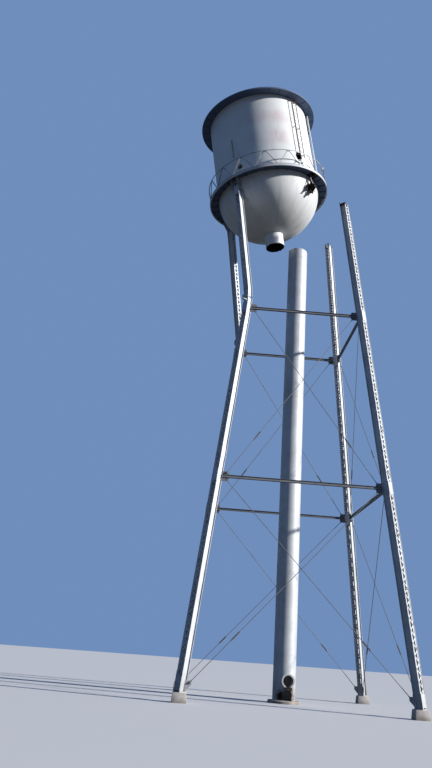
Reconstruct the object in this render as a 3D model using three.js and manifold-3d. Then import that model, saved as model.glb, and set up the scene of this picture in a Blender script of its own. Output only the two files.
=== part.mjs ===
// A four-legged steel water tower, caught while it is being pulled down.
// Both right-hand legs and the riser pipe are cut through, the two left-hand legs have buckled above the
// upper struts, and the tank leans to the left on them.
// Millimetres, +Z up. The origin is on the ground, on the centre line of the riser pipe.
// The front is -Y and the right is +X.
import * as THREE from "three";
import { mergeVertices } from "three/addons/utils/BufferGeometryUtils.js";
import Module from "manifold-3d";

const wasm = await Module();
wasm.setup();

const DEGREE = Math.PI / 180;

// Room left between pieces that touch
const SEAT_GAP = 0.3;

// Concrete footings
const PIER_HEIGHT = 450;
const PIER_TOP_WIDTH = 640;
const PIER_FOOT_WIDTH = 720;
const RISER_PAD_RADIUS = 860;
const RISER_PAD_HEIGHT = 150;

// The four legs lean inwards at one slope on both axes
const FOOT_HALF_SPREAD = 5556;
const LEG_SLOPE = 0.1038;
const COLUMN_DEPTH = 381;
const COLUMN_BREADTH = 370;
const CHANNEL_WEB = 14;
const CHANNEL_FLANGE = 16;
const FLANGE_WIDTH = 86;
const LACING_BAR = 70;
const LACING_STEP = 600;
const STAY_PLATE_LENGTH = 650;
const BASE_PLATE_WIDTH = 440;
const BASE_PLATE_THICKNESS = 32;

// Levels above the ground
const LOWER_STRUT_LEVEL = 10885;
const UPPER_STRUT_LEVEL = 21365;
const BUCKLE_LEVEL = 22076;
const RIGHT_LEG_CUT_LEVEL = 29937;
const RIGHT_LEG_CUT_SLOPE = 0.35;

// Struts: two channels side by side, joined by spacers, with a gusset plate at each end
const STRUT_DEPTH = 152;
const STRUT_CHANNEL_WIDTH = 48;
const STRUT_CHANNEL_WEB = 10;
const STRUT_SPACING = 150;
const SPACER_LENGTH = 220;
const SPACER_COUNT = 4;
const GUSSET_THICKNESS = 16;
const GUSSET_REACH = 600;
const GUSSET_HALF_HEIGHT = 270;
const GUSSET_CORNER = 90;

// Brace rods, two crossing in each panel, one on each face of the gussets
const ROD_RADIUS = 17;
const ROD_SIDES = 6;
const ROD_EYE = 110;
const TURNBUCKLE_RADIUS = 42;
const TURNBUCKLE_LENGTH = 520;
const TURNBUCKLE_PLACE = 0.22;
const PIN_INSET = 480;
const PIN_DROP = 190;
const FOOT_PIN_INSET = 420;
const FOOT_PIN_RISE = 420;

// Riser pipe
const RISER_RADIUS = 610;
const RISER_WALL = 16;
const RISER_SIDES = 32;
const RISER_TOP_LEVEL = 27520;
const RISER_BASE_TOP = 2440;
const RISER_CUT_SLOPE = 0.12;
const MANHOLE_LEVEL = 1120;
const MANHOLE_RADIUS = 280;
const MANHOLE_WALL = 26;
const MANHOLE_REACH = 120;
const MANHOLE_AZIMUTH = -81 * DEGREE;
const MANHOLE_SIDES = 24;
const NOTCH_WIDTH = 520;
const NOTCH_HEIGHT = 560;

// Tank, measured from the balcony plane along the tank's own axis
const TANK_CENTRE = new THREE.Vector3(-2205, -439, 31211);
const TANK_LEAN_LEFT = 9.86 * DEGREE;
const TANK_LEAN_FRONT = 1.7 * DEGREE;
const TANK_TWIST = 1.48 * DEGREE;
const TANK_SIDES = 40;
const TANK_RADIUS = 3353;
const TANK_WALL = 20;
const SHELL_HEIGHT = 5840;
const BOWL_DEPTH = 2940;
const BOWL_STEPS = 7;
const NECK_RADIUS = RISER_RADIUS;
const NECK_BOTTOM = -3776;
const NECK_WALL = 18;
const NECK_TUCK = 60;

// Conical roof with a wide level eave, and its vent
const ROOF_RADIUS = 3950;
const ROOF_RISE = 1600;
const ROOF_EDGE = 70;
const ROOF_PLATE = 24;
const ROOF_SEAT = 90;
const VENT_RADIUS = 170;
const VENT_HEIGHT = 190;
const VENT_HOOD_RADIUS = 310;
const VENT_HOOD_RISE = 150;

// Balcony and its railing
const WALKWAY_WIDTH = 630;
const DECK_THICKNESS = 30;
const EDGE_CHANNEL_DEPTH = 150;
const EDGE_CHANNEL_WIDTH = 55;
const RAIL_HEIGHT = 1030;
const RAIL_BAR = 56;
const RAIL_MODULES = 16;
const RAIL_FIRST_APEX = -98.5 * DEGREE;
const RAIL_FOOT_HALF_GAP = 60;
const RAIL_STEPS_PER_MODULE = 2;

// Leg heads under the balcony, and where each leg's centre line meets the tank
const LEG_TOP_RADIUS = 3370;
const LEG_TOP_DROP = 250;
const CAP_THICKNESS = 24;
const CAP_HALF_WIDTH = 330;
const CAP_OUTER_RADIUS = 3850;
const CHEEK_THICKNESS = 30;
const CHEEK_BITE = 12;
const CHEEK_DROP = 900;
const CHEEK_FOOT_RADIUS = 3600;
const STUB_DROP = 1350;
const STUB_SPLAY = 160;

// Ladder and conduit on the shell
const LADDER_AZIMUTH = -54.3 * DEGREE;
const LADDER_WIDTH = 400;
const LADDER_STANDOFF = 160;
const LADDER_FOOT = 1150;
const LADDER_TOP = 5780;
const LADDER_RUNG_STEP = 305;
const LADDER_STILE_DEPTH = 60;
const LADDER_STILE_THICKNESS = 14;
const LADDER_RUNG = 22;
const LADDER_TIE_LEVELS = [1400, 3500, 5600];
const CONDUIT_AZIMUTH = -18 * DEGREE;
const CONDUIT_RADIUS = 57;
const CONDUIT_STANDOFF = 130;
const CONDUIT_TOP = 5800;
const CONDUIT_TIE_LEVELS = [900, 3300, 5500];
const TIE_BAR = 40;

// Holes torn in the shell: azimuth, height above the balcony, half width and half height
const SHELL_HOLES = [
  { azimuth: -57 * DEGREE, height: 1200, halfWidth: 200, halfHeight: 275 },
  { azimuth: -53.5 * DEGREE, height: 820, halfWidth: 70, halfHeight: 80 },
  { azimuth: -128 * DEGREE, height: 800, halfWidth: 150, halfHeight: 110 },
];

// Larger than the whole tower, for blocks that trim a piece
const BEYOND = 90000;

const CORNERS = [
  { name: "front_right", x: 1, y: -1 },
  { name: "back_right", x: 1, y: 1 },
  { name: "back_left", x: -1, y: 1 },
  { name: "front_left", x: -1, y: -1 },
];
const FACES = ["front", "right", "back", "left"];

const paint = (color, roughness, metalness) =>
  new THREE.MeshStandardMaterial({ color, roughness, metalness });
const silverPaint = paint(0xc9ccce, 0.5, 0.3);
const tankPaint = paint(0xd8dad8, 0.55, 0.1);
const darkSteel = paint(0x4a4d50, 0.7, 0.4);
const tornSteel = paint(0x2c2a29, 0.85, 0.3);
const concrete = paint(0x9a958b, 0.95, 0);

// Turns a closed geometry into a solid that can be joined and cut
function solidFrom(geometry, matrix = new THREE.Matrix4()) {
  const plain = geometry.clone();
  plain.deleteAttribute("normal");
  plain.deleteAttribute("uv");
  plain.applyMatrix4(matrix);
  const merged = mergeVertices(plain, 1e-3);
  const corners = merged.index.array;
  const triangles = [];
  for (let i = 0; i < corners.length; i += 3) {
    const [a, b, c] = [corners[i], corners[i + 1], corners[i + 2]];
    if (a !== b && b !== c && c !== a) triangles.push(a, b, c);
  }
  const mesh = new wasm.Mesh({
    numProp: 3,
    vertProperties: new Float32Array(merged.attributes.position.array),
    triVerts: new Uint32Array(triangles),
  });
  return new wasm.Manifold(mesh);
}

// Gives a solid back as a geometry
function geometryFrom(solid) {
  const mesh = solid.getMesh();
  const geometry = new THREE.BufferGeometry();
  geometry.setAttribute("position", new THREE.BufferAttribute(mesh.vertProperties, 3));
  geometry.setIndex(new THREE.BufferAttribute(mesh.triVerts, 1));
  geometry.computeVertexNormals();
  return geometry;
}

const joined = (solids) => solids.reduce((sum, solid) => sum.add(solid));

// The largest of the bodies that a cut leaves
const largestBody = (solid) => solid.decompose().sort((a, b) => b.volume() - a.volume())[0];

function named(name, geometry, material) {
  const mesh = new THREE.Mesh(geometry, material);
  mesh.name = name;
  return mesh;
}

const namedSolid = (name, solid, material) => named(name, geometryFrom(solid), material);

// A box between two corner points, as a solid
function block(low, high, matrix) {
  const size = high.map((value, axis) => value - low[axis]);
  const geometry = new THREE.BoxGeometry(...size);
  geometry.translate(...high.map((value, axis) => (value + low[axis]) / 2));
  return solidFrom(geometry, matrix);
}

// A solid of revolution about Z from a closed outline of [radius, height] points
function turned(outline, sides) {
  const points = outline.map(([radius, height]) => new THREE.Vector2(radius, height));
  if (THREE.ShapeUtils.area(points) < 0) points.reverse();
  points.push(points[0].clone());
  const geometry = new THREE.LatheGeometry(points, sides);
  geometry.rotateX(Math.PI / 2);
  return solidFrom(geometry);
}

// A flat plate of the given outline, standing in the X-Z plane and centred on Y
function uprightPlate(outline, thickness, matrix) {
  const shape = new THREE.Shape(outline.map(([x, z]) => new THREE.Vector2(x, z)));
  const geometry = new THREE.ExtrudeGeometry(shape, { depth: thickness, bevelEnabled: false });
  geometry.translate(0, 0, -thickness / 2);
  geometry.rotateX(Math.PI / 2);
  return solidFrom(geometry, matrix);
}

// A block that fills everything on the far side of a plane
function beyondPlane(point, normal) {
  const up = new THREE.Vector3(0, 0, 1);
  const turn = new THREE.Quaternion().setFromUnitVectors(up, normal.clone().normalize());
  const matrix = new THREE.Matrix4().compose(point, turn, new THREE.Vector3(1, 1, 1));
  return block([-BEYOND, -BEYOND, 0], [BEYOND, BEYOND, BEYOND], matrix);
}

// The centre line of a leg at a level, while it still stands straight
function legPoint(corner, level) {
  const spread = FOOT_HALF_SPREAD - LEG_SLOPE * (level - PIER_HEIGHT);
  return new THREE.Vector3(corner.x * spread, corner.y * spread, level);
}

// A column's own frame: X points away from the tower, Y across it and Z up its centre line
function columnFrame(foot, head, corner) {
  const outward = new THREE.Vector3(corner.x, corner.y, 0);
  const along = head.clone().sub(foot).normalize();
  const across = new THREE.Vector3().crossVectors(along, outward).normalize();
  const away = new THREE.Vector3().crossVectors(across, along);
  return new THREE.Matrix4().makeBasis(away, across, along).setPosition(foot);
}

// The space that a column fills, grown by the seat gap
function columnEnvelope(frame, length) {
  const depth = COLUMN_DEPTH / 2 + SEAT_GAP;
  const breadth = COLUMN_BREADTH / 2 + SEAT_GAP;
  return block([-depth, -breadth, -1000], [depth, breadth, length + 1000], frame);
}

// One laced side of a column: a strip with a triangular opening between each two lacing bars
function lacedSide(low, high, openFrom, openTo) {
  const halfWidth = COLUMN_BREADTH / 2 - CHANNEL_WEB / 2;
  const halfOpening = COLUMN_BREADTH / 2 - FLANGE_WIDTH;
  const shape = new THREE.Shape([
    new THREE.Vector2(-halfWidth, low),
    new THREE.Vector2(halfWidth, low),
    new THREE.Vector2(halfWidth, high),
    new THREE.Vector2(-halfWidth, high),
  ]);
  const count = Math.floor((openTo - openFrom) / LACING_STEP) - 1;
  const step = (openTo - openFrom) / (count + 1);
  const steepness = Math.atan2(step, 2 * halfOpening);
  const apexInset = LACING_BAR / 2 / Math.sin(steepness);
  const baseHalf = step - LACING_BAR / 2 / Math.cos(steepness);
  for (let index = 1; index <= count; index += 1) {
    const side = index % 2 ? 1 : -1;
    const middle = openFrom + index * step;
    const opening = new THREE.Path([
      new THREE.Vector2(side * (halfOpening - apexInset), middle),
      new THREE.Vector2(-side * halfOpening, middle + baseHalf),
      new THREE.Vector2(-side * halfOpening, middle - baseHalf),
    ]);
    shape.holes.push(opening);
  }
  const geometry = new THREE.ExtrudeGeometry(shape, { depth: CHANNEL_FLANGE, bevelEnabled: false });
  geometry.translate(0, 0, -CHANNEL_FLANGE / 2);
  // Shape X becomes the column's Y, and shape Y its Z
  const stand = new THREE.Matrix4().set(0, 0, 1, 0, 1, 0, 0, 0, 0, 1, 0, 0, 0, 0, 0, 1);
  geometry.applyMatrix4(stand);
  return geometry;
}

// A laced column of two channels, longer than needed at both ends so that it can be trimmed
function lacedColumn(frame, length) {
  const spare = 500;
  const depth = COLUMN_DEPTH / 2;
  const breadth = COLUMN_BREADTH / 2;
  const pieces = [];
  for (const side of [-1, 1]) {
    const inner = side * (breadth - CHANNEL_WEB);
    const outer = side * breadth;
    const low = [-depth, Math.min(inner, outer), -spare];
    const high = [depth, Math.max(inner, outer), length + spare];
    pieces.push(block(low, high, frame));
    const openTo = length - STAY_PLATE_LENGTH;
    const laced = lacedSide(1 - spare, length + spare - 1, STAY_PLATE_LENGTH, openTo);
    laced.translate(side * (depth - 1 - CHANNEL_FLANGE / 2), 0, 0);
    pieces.push(solidFrom(laced, frame));
  }
  return joined(pieces);
}

// The frame of one tower face: X along it, -Y out of it, Z up its slope from the foot of the legs
const faceTilt = Math.atan(LEG_SLOPE);
function faceFrame(faceIndex) {
  const turn = new THREE.Matrix4().makeRotationZ(faceIndex * 90 * DEGREE);
  const shift = new THREE.Matrix4().makeTranslation(0, -FOOT_HALF_SPREAD, PIER_HEIGHT);
  const tilt = new THREE.Matrix4().makeRotationX(-faceTilt);
  return turn.multiply(shift).multiply(tilt);
}
const heightOnFace = (level) => (level - PIER_HEIGHT) / Math.cos(faceTilt);
const halfSpreadAt = (level) => FOOT_HALF_SPREAD - LEG_SLOPE * (level - PIER_HEIGHT);

// The plate at a leg's foot that takes the ends of the brace rods of one face
function footGusset(faceIndex, side) {
  const reach = FOOT_PIN_INSET + GUSSET_CORNER;
  const outline = [
    [0, BASE_PLATE_THICKNESS / 2],
    [BASE_PLATE_WIDTH / 2, BASE_PLATE_THICKNESS / 2],
    [reach, FOOT_PIN_RISE - GUSSET_CORNER],
    [reach, FOOT_PIN_RISE + GUSSET_CORNER / 2],
    [reach - GUSSET_CORNER / 2, FOOT_PIN_RISE + GUSSET_CORNER],
    [0, FOOT_PIN_RISE + GUSSET_CORNER],
  ].map(([inset, height]) => [side * (FOOT_HALF_SPREAD - inset), height]);
  if (side > 0) outline.reverse();
  return uprightPlate(outline, GUSSET_THICKNESS, faceFrame(faceIndex));
}

// The straight foot of a leg: base plate and the two foot gussets
function legFoot(corner, cornerIndex) {
  const foot = legPoint(corner, PIER_HEIGHT);
  const place = new THREE.Matrix4().makeRotationZ(45 * DEGREE).setPosition(foot);
  const half = BASE_PLATE_WIDTH / 2;
  const low = [-half, -half, SEAT_GAP];
  const high = [half, half, SEAT_GAP + BASE_PLATE_THICKNESS];
  const nextFace = (cornerIndex + 1) % 4;
  return [block(low, high, place), footGusset(cornerIndex, 1), footGusset(nextFace, -1)];
}

function buildPiers(tower) {
  for (const corner of CORNERS) {
    const geometry = new THREE.CylinderGeometry(
      PIER_TOP_WIDTH / Math.SQRT2,
      PIER_FOOT_WIDTH / Math.SQRT2,
      PIER_HEIGHT,
      4,
    );
    geometry.rotateX(Math.PI / 2);
    geometry.rotateZ(Math.PI / 4);
    const pier = namedSolid("pier_" + corner.name, solidFrom(geometry), concrete);
    pier.position.set(corner.x * FOOT_HALF_SPREAD, corner.y * FOOT_HALF_SPREAD, PIER_HEIGHT / 2);
    tower.add(pier);
  }
  const pad = [
    [0, 0],
    [RISER_PAD_RADIUS, 0],
    [RISER_PAD_RADIUS, RISER_PAD_HEIGHT],
    [0, RISER_PAD_HEIGHT],
  ];
  tower.add(namedSolid("riser_foundation", turned(pad, RISER_SIDES), concrete));
}

// A right-hand leg stands straight to the slanting cut that freed it from the tank
function cutLeg(corner, cornerIndex) {
  const foot = legPoint(corner, PIER_HEIGHT);
  const head = legPoint(corner, RIGHT_LEG_CUT_LEVEL);
  const frame = columnFrame(foot, head, corner);
  const headCut = beyondPlane(head, new THREE.Vector3(RIGHT_LEG_CUT_SLOPE, 0, 1));
  const column = lacedColumn(frame, head.distanceTo(foot)).subtract(footTrim()).subtract(headCut);
  return joined([column, ...legFoot(corner, cornerIndex)]);
}

// The tank's frame: origin on its axis in the balcony plane, Z up the leaning axis
function tankFrame() {
  const axis = new THREE.Vector3(-Math.tan(TANK_LEAN_LEFT), -Math.tan(TANK_LEAN_FRONT), 1).normalize();
  const right = new THREE.Vector3().crossVectors(new THREE.Vector3(0, 1, 0), axis).normalize();
  const back = new THREE.Vector3().crossVectors(axis, right);
  return new THREE.Matrix4().makeBasis(right, back, axis).setPosition(TANK_CENTRE);
}

const cornerAzimuth = (corner) => Math.atan2(corner.y, corner.x) + TANK_TWIST;

// The outline of the bowl's outside, from the balcony plane down to a given radius
function bowlCurve(radius, depth, endRadius) {
  const last = Math.acos(endRadius / radius);
  const points = [];
  for (let index = 0; index <= BOWL_STEPS; index += 1) {
    const angle = (last * index) / BOWL_STEPS;
    points.push([radius * Math.cos(angle), -depth * Math.sin(angle)]);
  }
  return points;
}

// The space inside the tank's outer surface, grown by the seat gap, in the tank's frame
function tankEnvelope() {
  const radius = TANK_RADIUS + SEAT_GAP;
  const curve = bowlCurve(radius, BOWL_DEPTH + SEAT_GAP, NECK_RADIUS + SEAT_GAP);
  const lowest = curve[curve.length - 1][1];
  return turned([[0, SHELL_HEIGHT], [radius, SHELL_HEIGHT], ...curve, [0, lowest]], TANK_SIDES);
}

// Where the centre line of a left-hand leg still meets the tank
function legTop(corner) {
  const azimuth = cornerAzimuth(corner);
  const point = new THREE.Vector3(
    LEG_TOP_RADIUS * Math.cos(azimuth),
    LEG_TOP_RADIUS * Math.sin(azimuth),
    -LEG_TOP_DROP,
  );
  return point.applyMatrix4(tankFrame());
}

const capUnderside = -(DECK_THICKNESS + SEAT_GAP + CAP_THICKNESS);

// The block that levels the foot of a leg inside its base plate
function footTrim() {
  const middleOfPlate = new THREE.Vector3(0, 0, PIER_HEIGHT + BASE_PLATE_THICKNESS / 2);
  return beyondPlane(middleOfPlate, new THREE.Vector3(0, 0, -1));
}

// A left-hand leg in two lengths, with the buckle between them
function buckledLeg(corner, cornerIndex) {
  const foot = legPoint(corner, PIER_HEIGHT);
  const buckle = legPoint(corner, BUCKLE_LEVEL);
  const top = legTop(corner);
  const lowerFrame = columnFrame(foot, buckle, corner);
  const upperFrame = columnFrame(buckle, top, corner);
  const lowerWay = buckle.clone().sub(foot).normalize();
  const upperWay = top.clone().sub(buckle).normalize();
  const meeting = lowerWay.add(upperWay).normalize();
  const lowerColumn = lacedColumn(lowerFrame, buckle.distanceTo(foot));
  const lower = lowerColumn.subtract(footTrim()).subtract(beyondPlane(buckle, meeting));
  const upperStart = buckle.clone().addScaledVector(meeting, SEAT_GAP);
  const upperColumn = lacedColumn(upperFrame, top.distanceTo(buckle));
  const tank = tankFrame();
  const upward = new THREE.Vector3().setFromMatrixColumn(tank, 2);
  const underCap = new THREE.Vector3(0, 0, capUnderside - SEAT_GAP).applyMatrix4(tank);
  const upper = upperColumn
    .subtract(beyondPlane(upperStart, meeting.clone().negate()))
    .subtract(beyondPlane(underCap, upward))
    .subtract(solidFrom(geometryFrom(tankEnvelope()), tank));
  return {
    lower: joined([lower, ...legFoot(corner, cornerIndex)]),
    upper,
    envelope: columnEnvelope(upperFrame, top.distanceTo(buckle)),
  };
}

// One channel of a strut, its toes turned away from the other channel
function strutChannel(side, halfLength, height) {
  const web = STRUT_SPACING / 2;
  const toe = web + STRUT_CHANNEL_WIDTH;
  const half = STRUT_DEPTH / 2;
  const thick = STRUT_CHANNEL_WEB;
  const section = [
    [web, -half],
    [toe, -half],
    [toe, thick - half],
    [web + thick, thick - half],
    [web + thick, half - thick],
    [toe, half - thick],
    [toe, half],
    [web, half],
  ].map(([across, up]) => new THREE.Vector2(side * across, up));
  if (side < 0) section.reverse();
  const depth = 2 * halfLength;
  const geometry = new THREE.ExtrudeGeometry(new THREE.Shape(section), { depth, bevelEnabled: false });
  geometry.translate(0, 0, -halfLength);
  // Shape X becomes Y across the strut, shape Y goes up, and the length runs along X
  geometry.applyMatrix4(new THREE.Matrix4().set(0, 0, 1, 0, 1, 0, 0, 0, 0, 1, 0, height, 0, 0, 0, 1));
  return solidFrom(geometry);
}

// The gusset plate at one end of a strut
function strutGusset(side, halfLength, height) {
  const outline = [
    [0, -GUSSET_HALF_HEIGHT],
    [GUSSET_REACH - GUSSET_CORNER, -GUSSET_HALF_HEIGHT],
    [GUSSET_REACH, GUSSET_CORNER - GUSSET_HALF_HEIGHT],
    [GUSSET_REACH, GUSSET_HALF_HEIGHT - GUSSET_CORNER],
    [GUSSET_REACH - GUSSET_CORNER, GUSSET_HALF_HEIGHT],
    [0, GUSSET_HALF_HEIGHT],
  ].map(([inset, up]) => [side * (halfLength - inset), height + up]);
  if (side > 0) outline.reverse();
  return uprightPlate(outline, GUSSET_THICKNESS);
}

// A strut in the frame of the front face, with its ends fitted round the two legs
function strut(level) {
  const halfLength = halfSpreadAt(level);
  const height = heightOnFace(level);
  const halfSpacer = STRUT_SPACING / 2 + STRUT_CHANNEL_WEB / 2;
  const spacerHalfHeight = STRUT_DEPTH / 2 - 20;
  const pieces = [strutChannel(1, halfLength, height), strutChannel(-1, halfLength, height)];
  const spacerPlaces = [-(halfLength - 560), halfLength - 560];
  for (let index = 1; index <= SPACER_COUNT; index += 1) {
    spacerPlaces.push(-halfLength + (2 * halfLength * index) / (SPACER_COUNT + 1));
  }
  for (const place of spacerPlaces) {
    const low = [place - SPACER_LENGTH / 2, -halfSpacer, height - spacerHalfHeight];
    const high = [place + SPACER_LENGTH / 2, halfSpacer, height + spacerHalfHeight];
    pieces.push(block(low, high));
  }
  for (const side of [-1, 1]) pieces.push(strutGusset(side, halfLength, height));
  const toFace = faceFrame(0).invert();
  let fitted = joined(pieces);
  for (const corner of [CORNERS[0], CORNERS[3]]) {
    const foot = legPoint(corner, PIER_HEIGHT);
    const head = legPoint(corner, BUCKLE_LEVEL);
    const frame = toFace.clone().multiply(columnFrame(foot, head, corner));
    fitted = fitted.subtract(columnEnvelope(frame, head.distanceTo(foot)));
  }
  return fitted;
}

// A brace rod with an eye at each end and a turnbuckle, in the frame of the front face
function braceRod(lowPin, highPin, offset) {
  const start = new THREE.Vector3(lowPin.x, offset, lowPin.y);
  const end = new THREE.Vector3(highPin.x, offset, highPin.y);
  const length = start.distanceTo(end);
  const way = end.clone().sub(start).normalize();
  const across = new THREE.Vector3(0, 1, 0);
  const side = new THREE.Vector3().crossVectors(across, way);
  const frame = new THREE.Matrix4().makeBasis(side, across, way).setPosition(start);
  const bar = new THREE.CylinderGeometry(ROD_RADIUS, ROD_RADIUS, length, ROD_SIDES).rotateX(Math.PI / 2);
  bar.translate(0, 0, length / 2);
  const grip = TURNBUCKLE_RADIUS;
  const sleeve = new THREE.CylinderGeometry(grip, grip, TURNBUCKLE_LENGTH, ROD_SIDES);
  sleeve.rotateX(Math.PI / 2).translate(0, 0, length * TURNBUCKLE_PLACE);
  const half = ROD_EYE / 2;
  const eyeAt = (place) => block([-half, -ROD_RADIUS, place - half], [half, ROD_RADIUS, place + half], frame);
  return joined([solidFrom(bar, frame), solidFrom(sleeve, frame), eyeAt(0), eyeAt(length)]);
}

// The two crossing rods of a panel, between pins that lie inwards of the legs
function panelRods(lowPin, highPin) {
  const offset = GUSSET_THICKNESS / 2 + SEAT_GAP + ROD_RADIUS;
  const mirrored = (pin) => new THREE.Vector2(-pin.x, pin.y);
  return {
    rising: braceRod(mirrored(lowPin), highPin, -offset),
    falling: braceRod(lowPin, mirrored(highPin), offset),
  };
}

function buildFaces(tower) {
  const footPin = new THREE.Vector2(FOOT_HALF_SPREAD - FOOT_PIN_INSET, FOOT_PIN_RISE);
  const pinAt = (level, rise) =>
    new THREE.Vector2(halfSpreadAt(level) - PIN_INSET, heightOnFace(level) + rise);
  const pieces = {
    strut_lower: strut(LOWER_STRUT_LEVEL),
    strut_upper: strut(UPPER_STRUT_LEVEL),
  };
  const lowerRods = panelRods(footPin, pinAt(LOWER_STRUT_LEVEL, -PIN_DROP));
  const middleFoot = pinAt(LOWER_STRUT_LEVEL, PIN_DROP);
  const middleRods = panelRods(middleFoot, pinAt(UPPER_STRUT_LEVEL, -PIN_DROP));
  pieces.rod_lower_rising = lowerRods.rising;
  pieces.rod_lower_falling = lowerRods.falling;
  pieces.rod_middle_rising = middleRods.rising;
  pieces.rod_middle_falling = middleRods.falling;
  FACES.forEach((face, index) => {
    const slope = new THREE.Group();
    slope.position.set(0, -FOOT_HALF_SPREAD, PIER_HEIGHT);
    slope.rotation.x = -faceTilt;
    const side = new THREE.Group();
    side.rotation.z = index * 90 * DEGREE;
    side.add(slope);
    tower.add(side);
    for (const [name, solid] of Object.entries(pieces)) {
      const material = name.startsWith("strut") ? silverPaint : darkSteel;
      slope.add(namedSolid(name + "_" + face, solid, material));
    }
  });
}

// A length of the riser pipe between two levels
function riserLength(from, to) {
  const outline = [
    [RISER_RADIUS - RISER_WALL, from],
    [RISER_RADIUS, from],
    [RISER_RADIUS, to],
    [RISER_RADIUS - RISER_WALL, to],
  ];
  return turned(outline, RISER_SIDES);
}

function buildRiser(tower) {
  const facing = new THREE.Matrix4().makeRotationZ(MANHOLE_AZIMUTH);
  const boreLength = 2 * RISER_RADIUS;
  const bore = new THREE.CylinderGeometry(MANHOLE_RADIUS, MANHOLE_RADIUS, boreLength, MANHOLE_SIDES);
  bore.rotateZ(Math.PI / 2).translate(RISER_RADIUS, 0, MANHOLE_LEVEL);
  const half = NOTCH_WIDTH / 2;
  const notch = block([0, -half, 0], [boreLength, half, RISER_PAD_HEIGHT + NOTCH_HEIGHT], facing);
  const wholeBase = riserLength(RISER_PAD_HEIGHT + SEAT_GAP, RISER_BASE_TOP);
  const base = wholeBase.subtract(solidFrom(bore, facing)).subtract(notch);
  tower.add(namedSolid("riser_base", base, silverPaint));

  const topCentre = new THREE.Vector3(0, 0, RISER_TOP_LEVEL);
  const topCut = beyondPlane(topCentre, new THREE.Vector3(RISER_CUT_SLOPE, 0, 1));
  const pipe = riserLength(RISER_BASE_TOP + SEAT_GAP, RISER_TOP_LEVEL + 500).subtract(topCut);
  tower.add(namedSolid("riser_pipe", pipe, silverPaint));

  const ring = [
    [MANHOLE_RADIUS, 0],
    [MANHOLE_RADIUS + MANHOLE_WALL, 0],
    [MANHOLE_RADIUS + MANHOLE_WALL, RISER_RADIUS + MANHOLE_REACH],
    [MANHOLE_RADIUS, RISER_RADIUS + MANHOLE_REACH],
  ];
  const outward = new THREE.Matrix4().makeRotationY(Math.PI / 2).setPosition(0, 0, MANHOLE_LEVEL);
  const neck = solidFrom(geometryFrom(turned(ring, MANHOLE_SIDES)), facing.clone().multiply(outward));
  const grown = RISER_RADIUS + SEAT_GAP;
  const body = turned([[0, 0], [grown, 0], [grown, 3 * MANHOLE_LEVEL], [0, 3 * MANHOLE_LEVEL]], RISER_SIDES);
  tower.add(namedSolid("riser_manhole", neck.subtract(body), silverPaint));
}

function buildLegs(tower) {
  const upperEnvelopes = {};
  CORNERS.forEach((corner, index) => {
    if (corner.x > 0) {
      tower.add(namedSolid("leg_" + corner.name, cutLeg(corner, index), silverPaint));
      return;
    }
    const leg = buckledLeg(corner, index);
    tower.add(namedSolid("leg_" + corner.name + "_lower", leg.lower, silverPaint));
    tower.add(namedSolid("leg_" + corner.name + "_upper", leg.upper, silverPaint));
    upperEnvelopes[corner.name] = leg.envelope;
  });
  return upperEnvelopes;
}

// A torn hole as a many-cornered cutter that points out of the shell
function holeCutter(hole) {
  const reaches = [1, 0.72, 0.95, 0.8, 1.05, 0.78, 0.92, 0.7, 1];
  const shape = new THREE.Shape(
    reaches.map((reach, index) => {
      const angle = (2 * Math.PI * index) / reaches.length;
      const across = hole.halfWidth * reach * Math.cos(angle);
      return new THREE.Vector2(across, hole.halfHeight * reach * Math.sin(angle));
    }),
  );
  const geometry = new THREE.ExtrudeGeometry(shape, { depth: 400, bevelEnabled: false });
  // Shape X becomes Y round the shell, shape Y goes up, and the depth points outwards
  const stand = new THREE.Matrix4().set(0, 0, 1, 0, 1, 0, 0, 0, 0, 1, 0, 0, 0, 0, 0, 1);
  stand.setPosition(TANK_RADIUS - 200, 0, hole.height);
  geometry.applyMatrix4(stand);
  return solidFrom(geometry, new THREE.Matrix4().makeRotationZ(hole.azimuth));
}

const QUARTERS = ["front", "right", "back", "left"];

// The part of a ring between two angles, with half a seat gap taken off at each end
function withinAngles(ring, startAngle, endAngle) {
  const endTrim = (angle, side) => {
    const normal = new THREE.Vector3(-Math.sin(angle), Math.cos(angle), 0).multiplyScalar(side);
    return beyondPlane(normal.clone().multiplyScalar(-SEAT_GAP / 2), normal);
  };
  return ring.subtract(endTrim(startAngle, -1)).subtract(endTrim(endAngle, 1));
}

function buildTank(tank) {
  const outer = bowlCurve(TANK_RADIUS, BOWL_DEPTH, NECK_RADIUS + SEAT_GAP);
  const inner = bowlCurve(TANK_RADIUS - TANK_WALL, BOWL_DEPTH - TANK_WALL, NECK_RADIUS + SEAT_GAP);
  const bowl = turned([...outer, ...inner.reverse()], TANK_SIDES);
  QUARTERS.forEach((name, index) => {
    const quarter = withinAngles(bowl, (index - 1.5) * 90 * DEGREE, (index - 0.5) * 90 * DEGREE);
    tank.add(namedSolid("tank_bowl_" + name, quarter, tankPaint));
  });

  const shellInside = TANK_RADIUS - TANK_WALL;
  let shell = turned(
    [
      [shellInside, SEAT_GAP],
      [TANK_RADIUS, SEAT_GAP],
      [TANK_RADIUS, SHELL_HEIGHT],
      [shellInside, SHELL_HEIGHT],
    ],
    TANK_SIDES,
  );
  for (const hole of SHELL_HOLES) shell = shell.subtract(holeCutter(hole));
  tank.add(namedSolid("tank_shell", shell, tankPaint));

  const neckTop = outer[outer.length - 1][1] + NECK_TUCK;
  const neck = [
    [NECK_RADIUS - NECK_WALL, NECK_BOTTOM],
    [NECK_RADIUS, NECK_BOTTOM],
    [NECK_RADIUS, neckTop],
    [NECK_RADIUS - NECK_WALL, neckTop],
  ];
  tank.add(namedSolid("tank_neck", turned(neck, TANK_SIDES), tankPaint));
}

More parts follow.
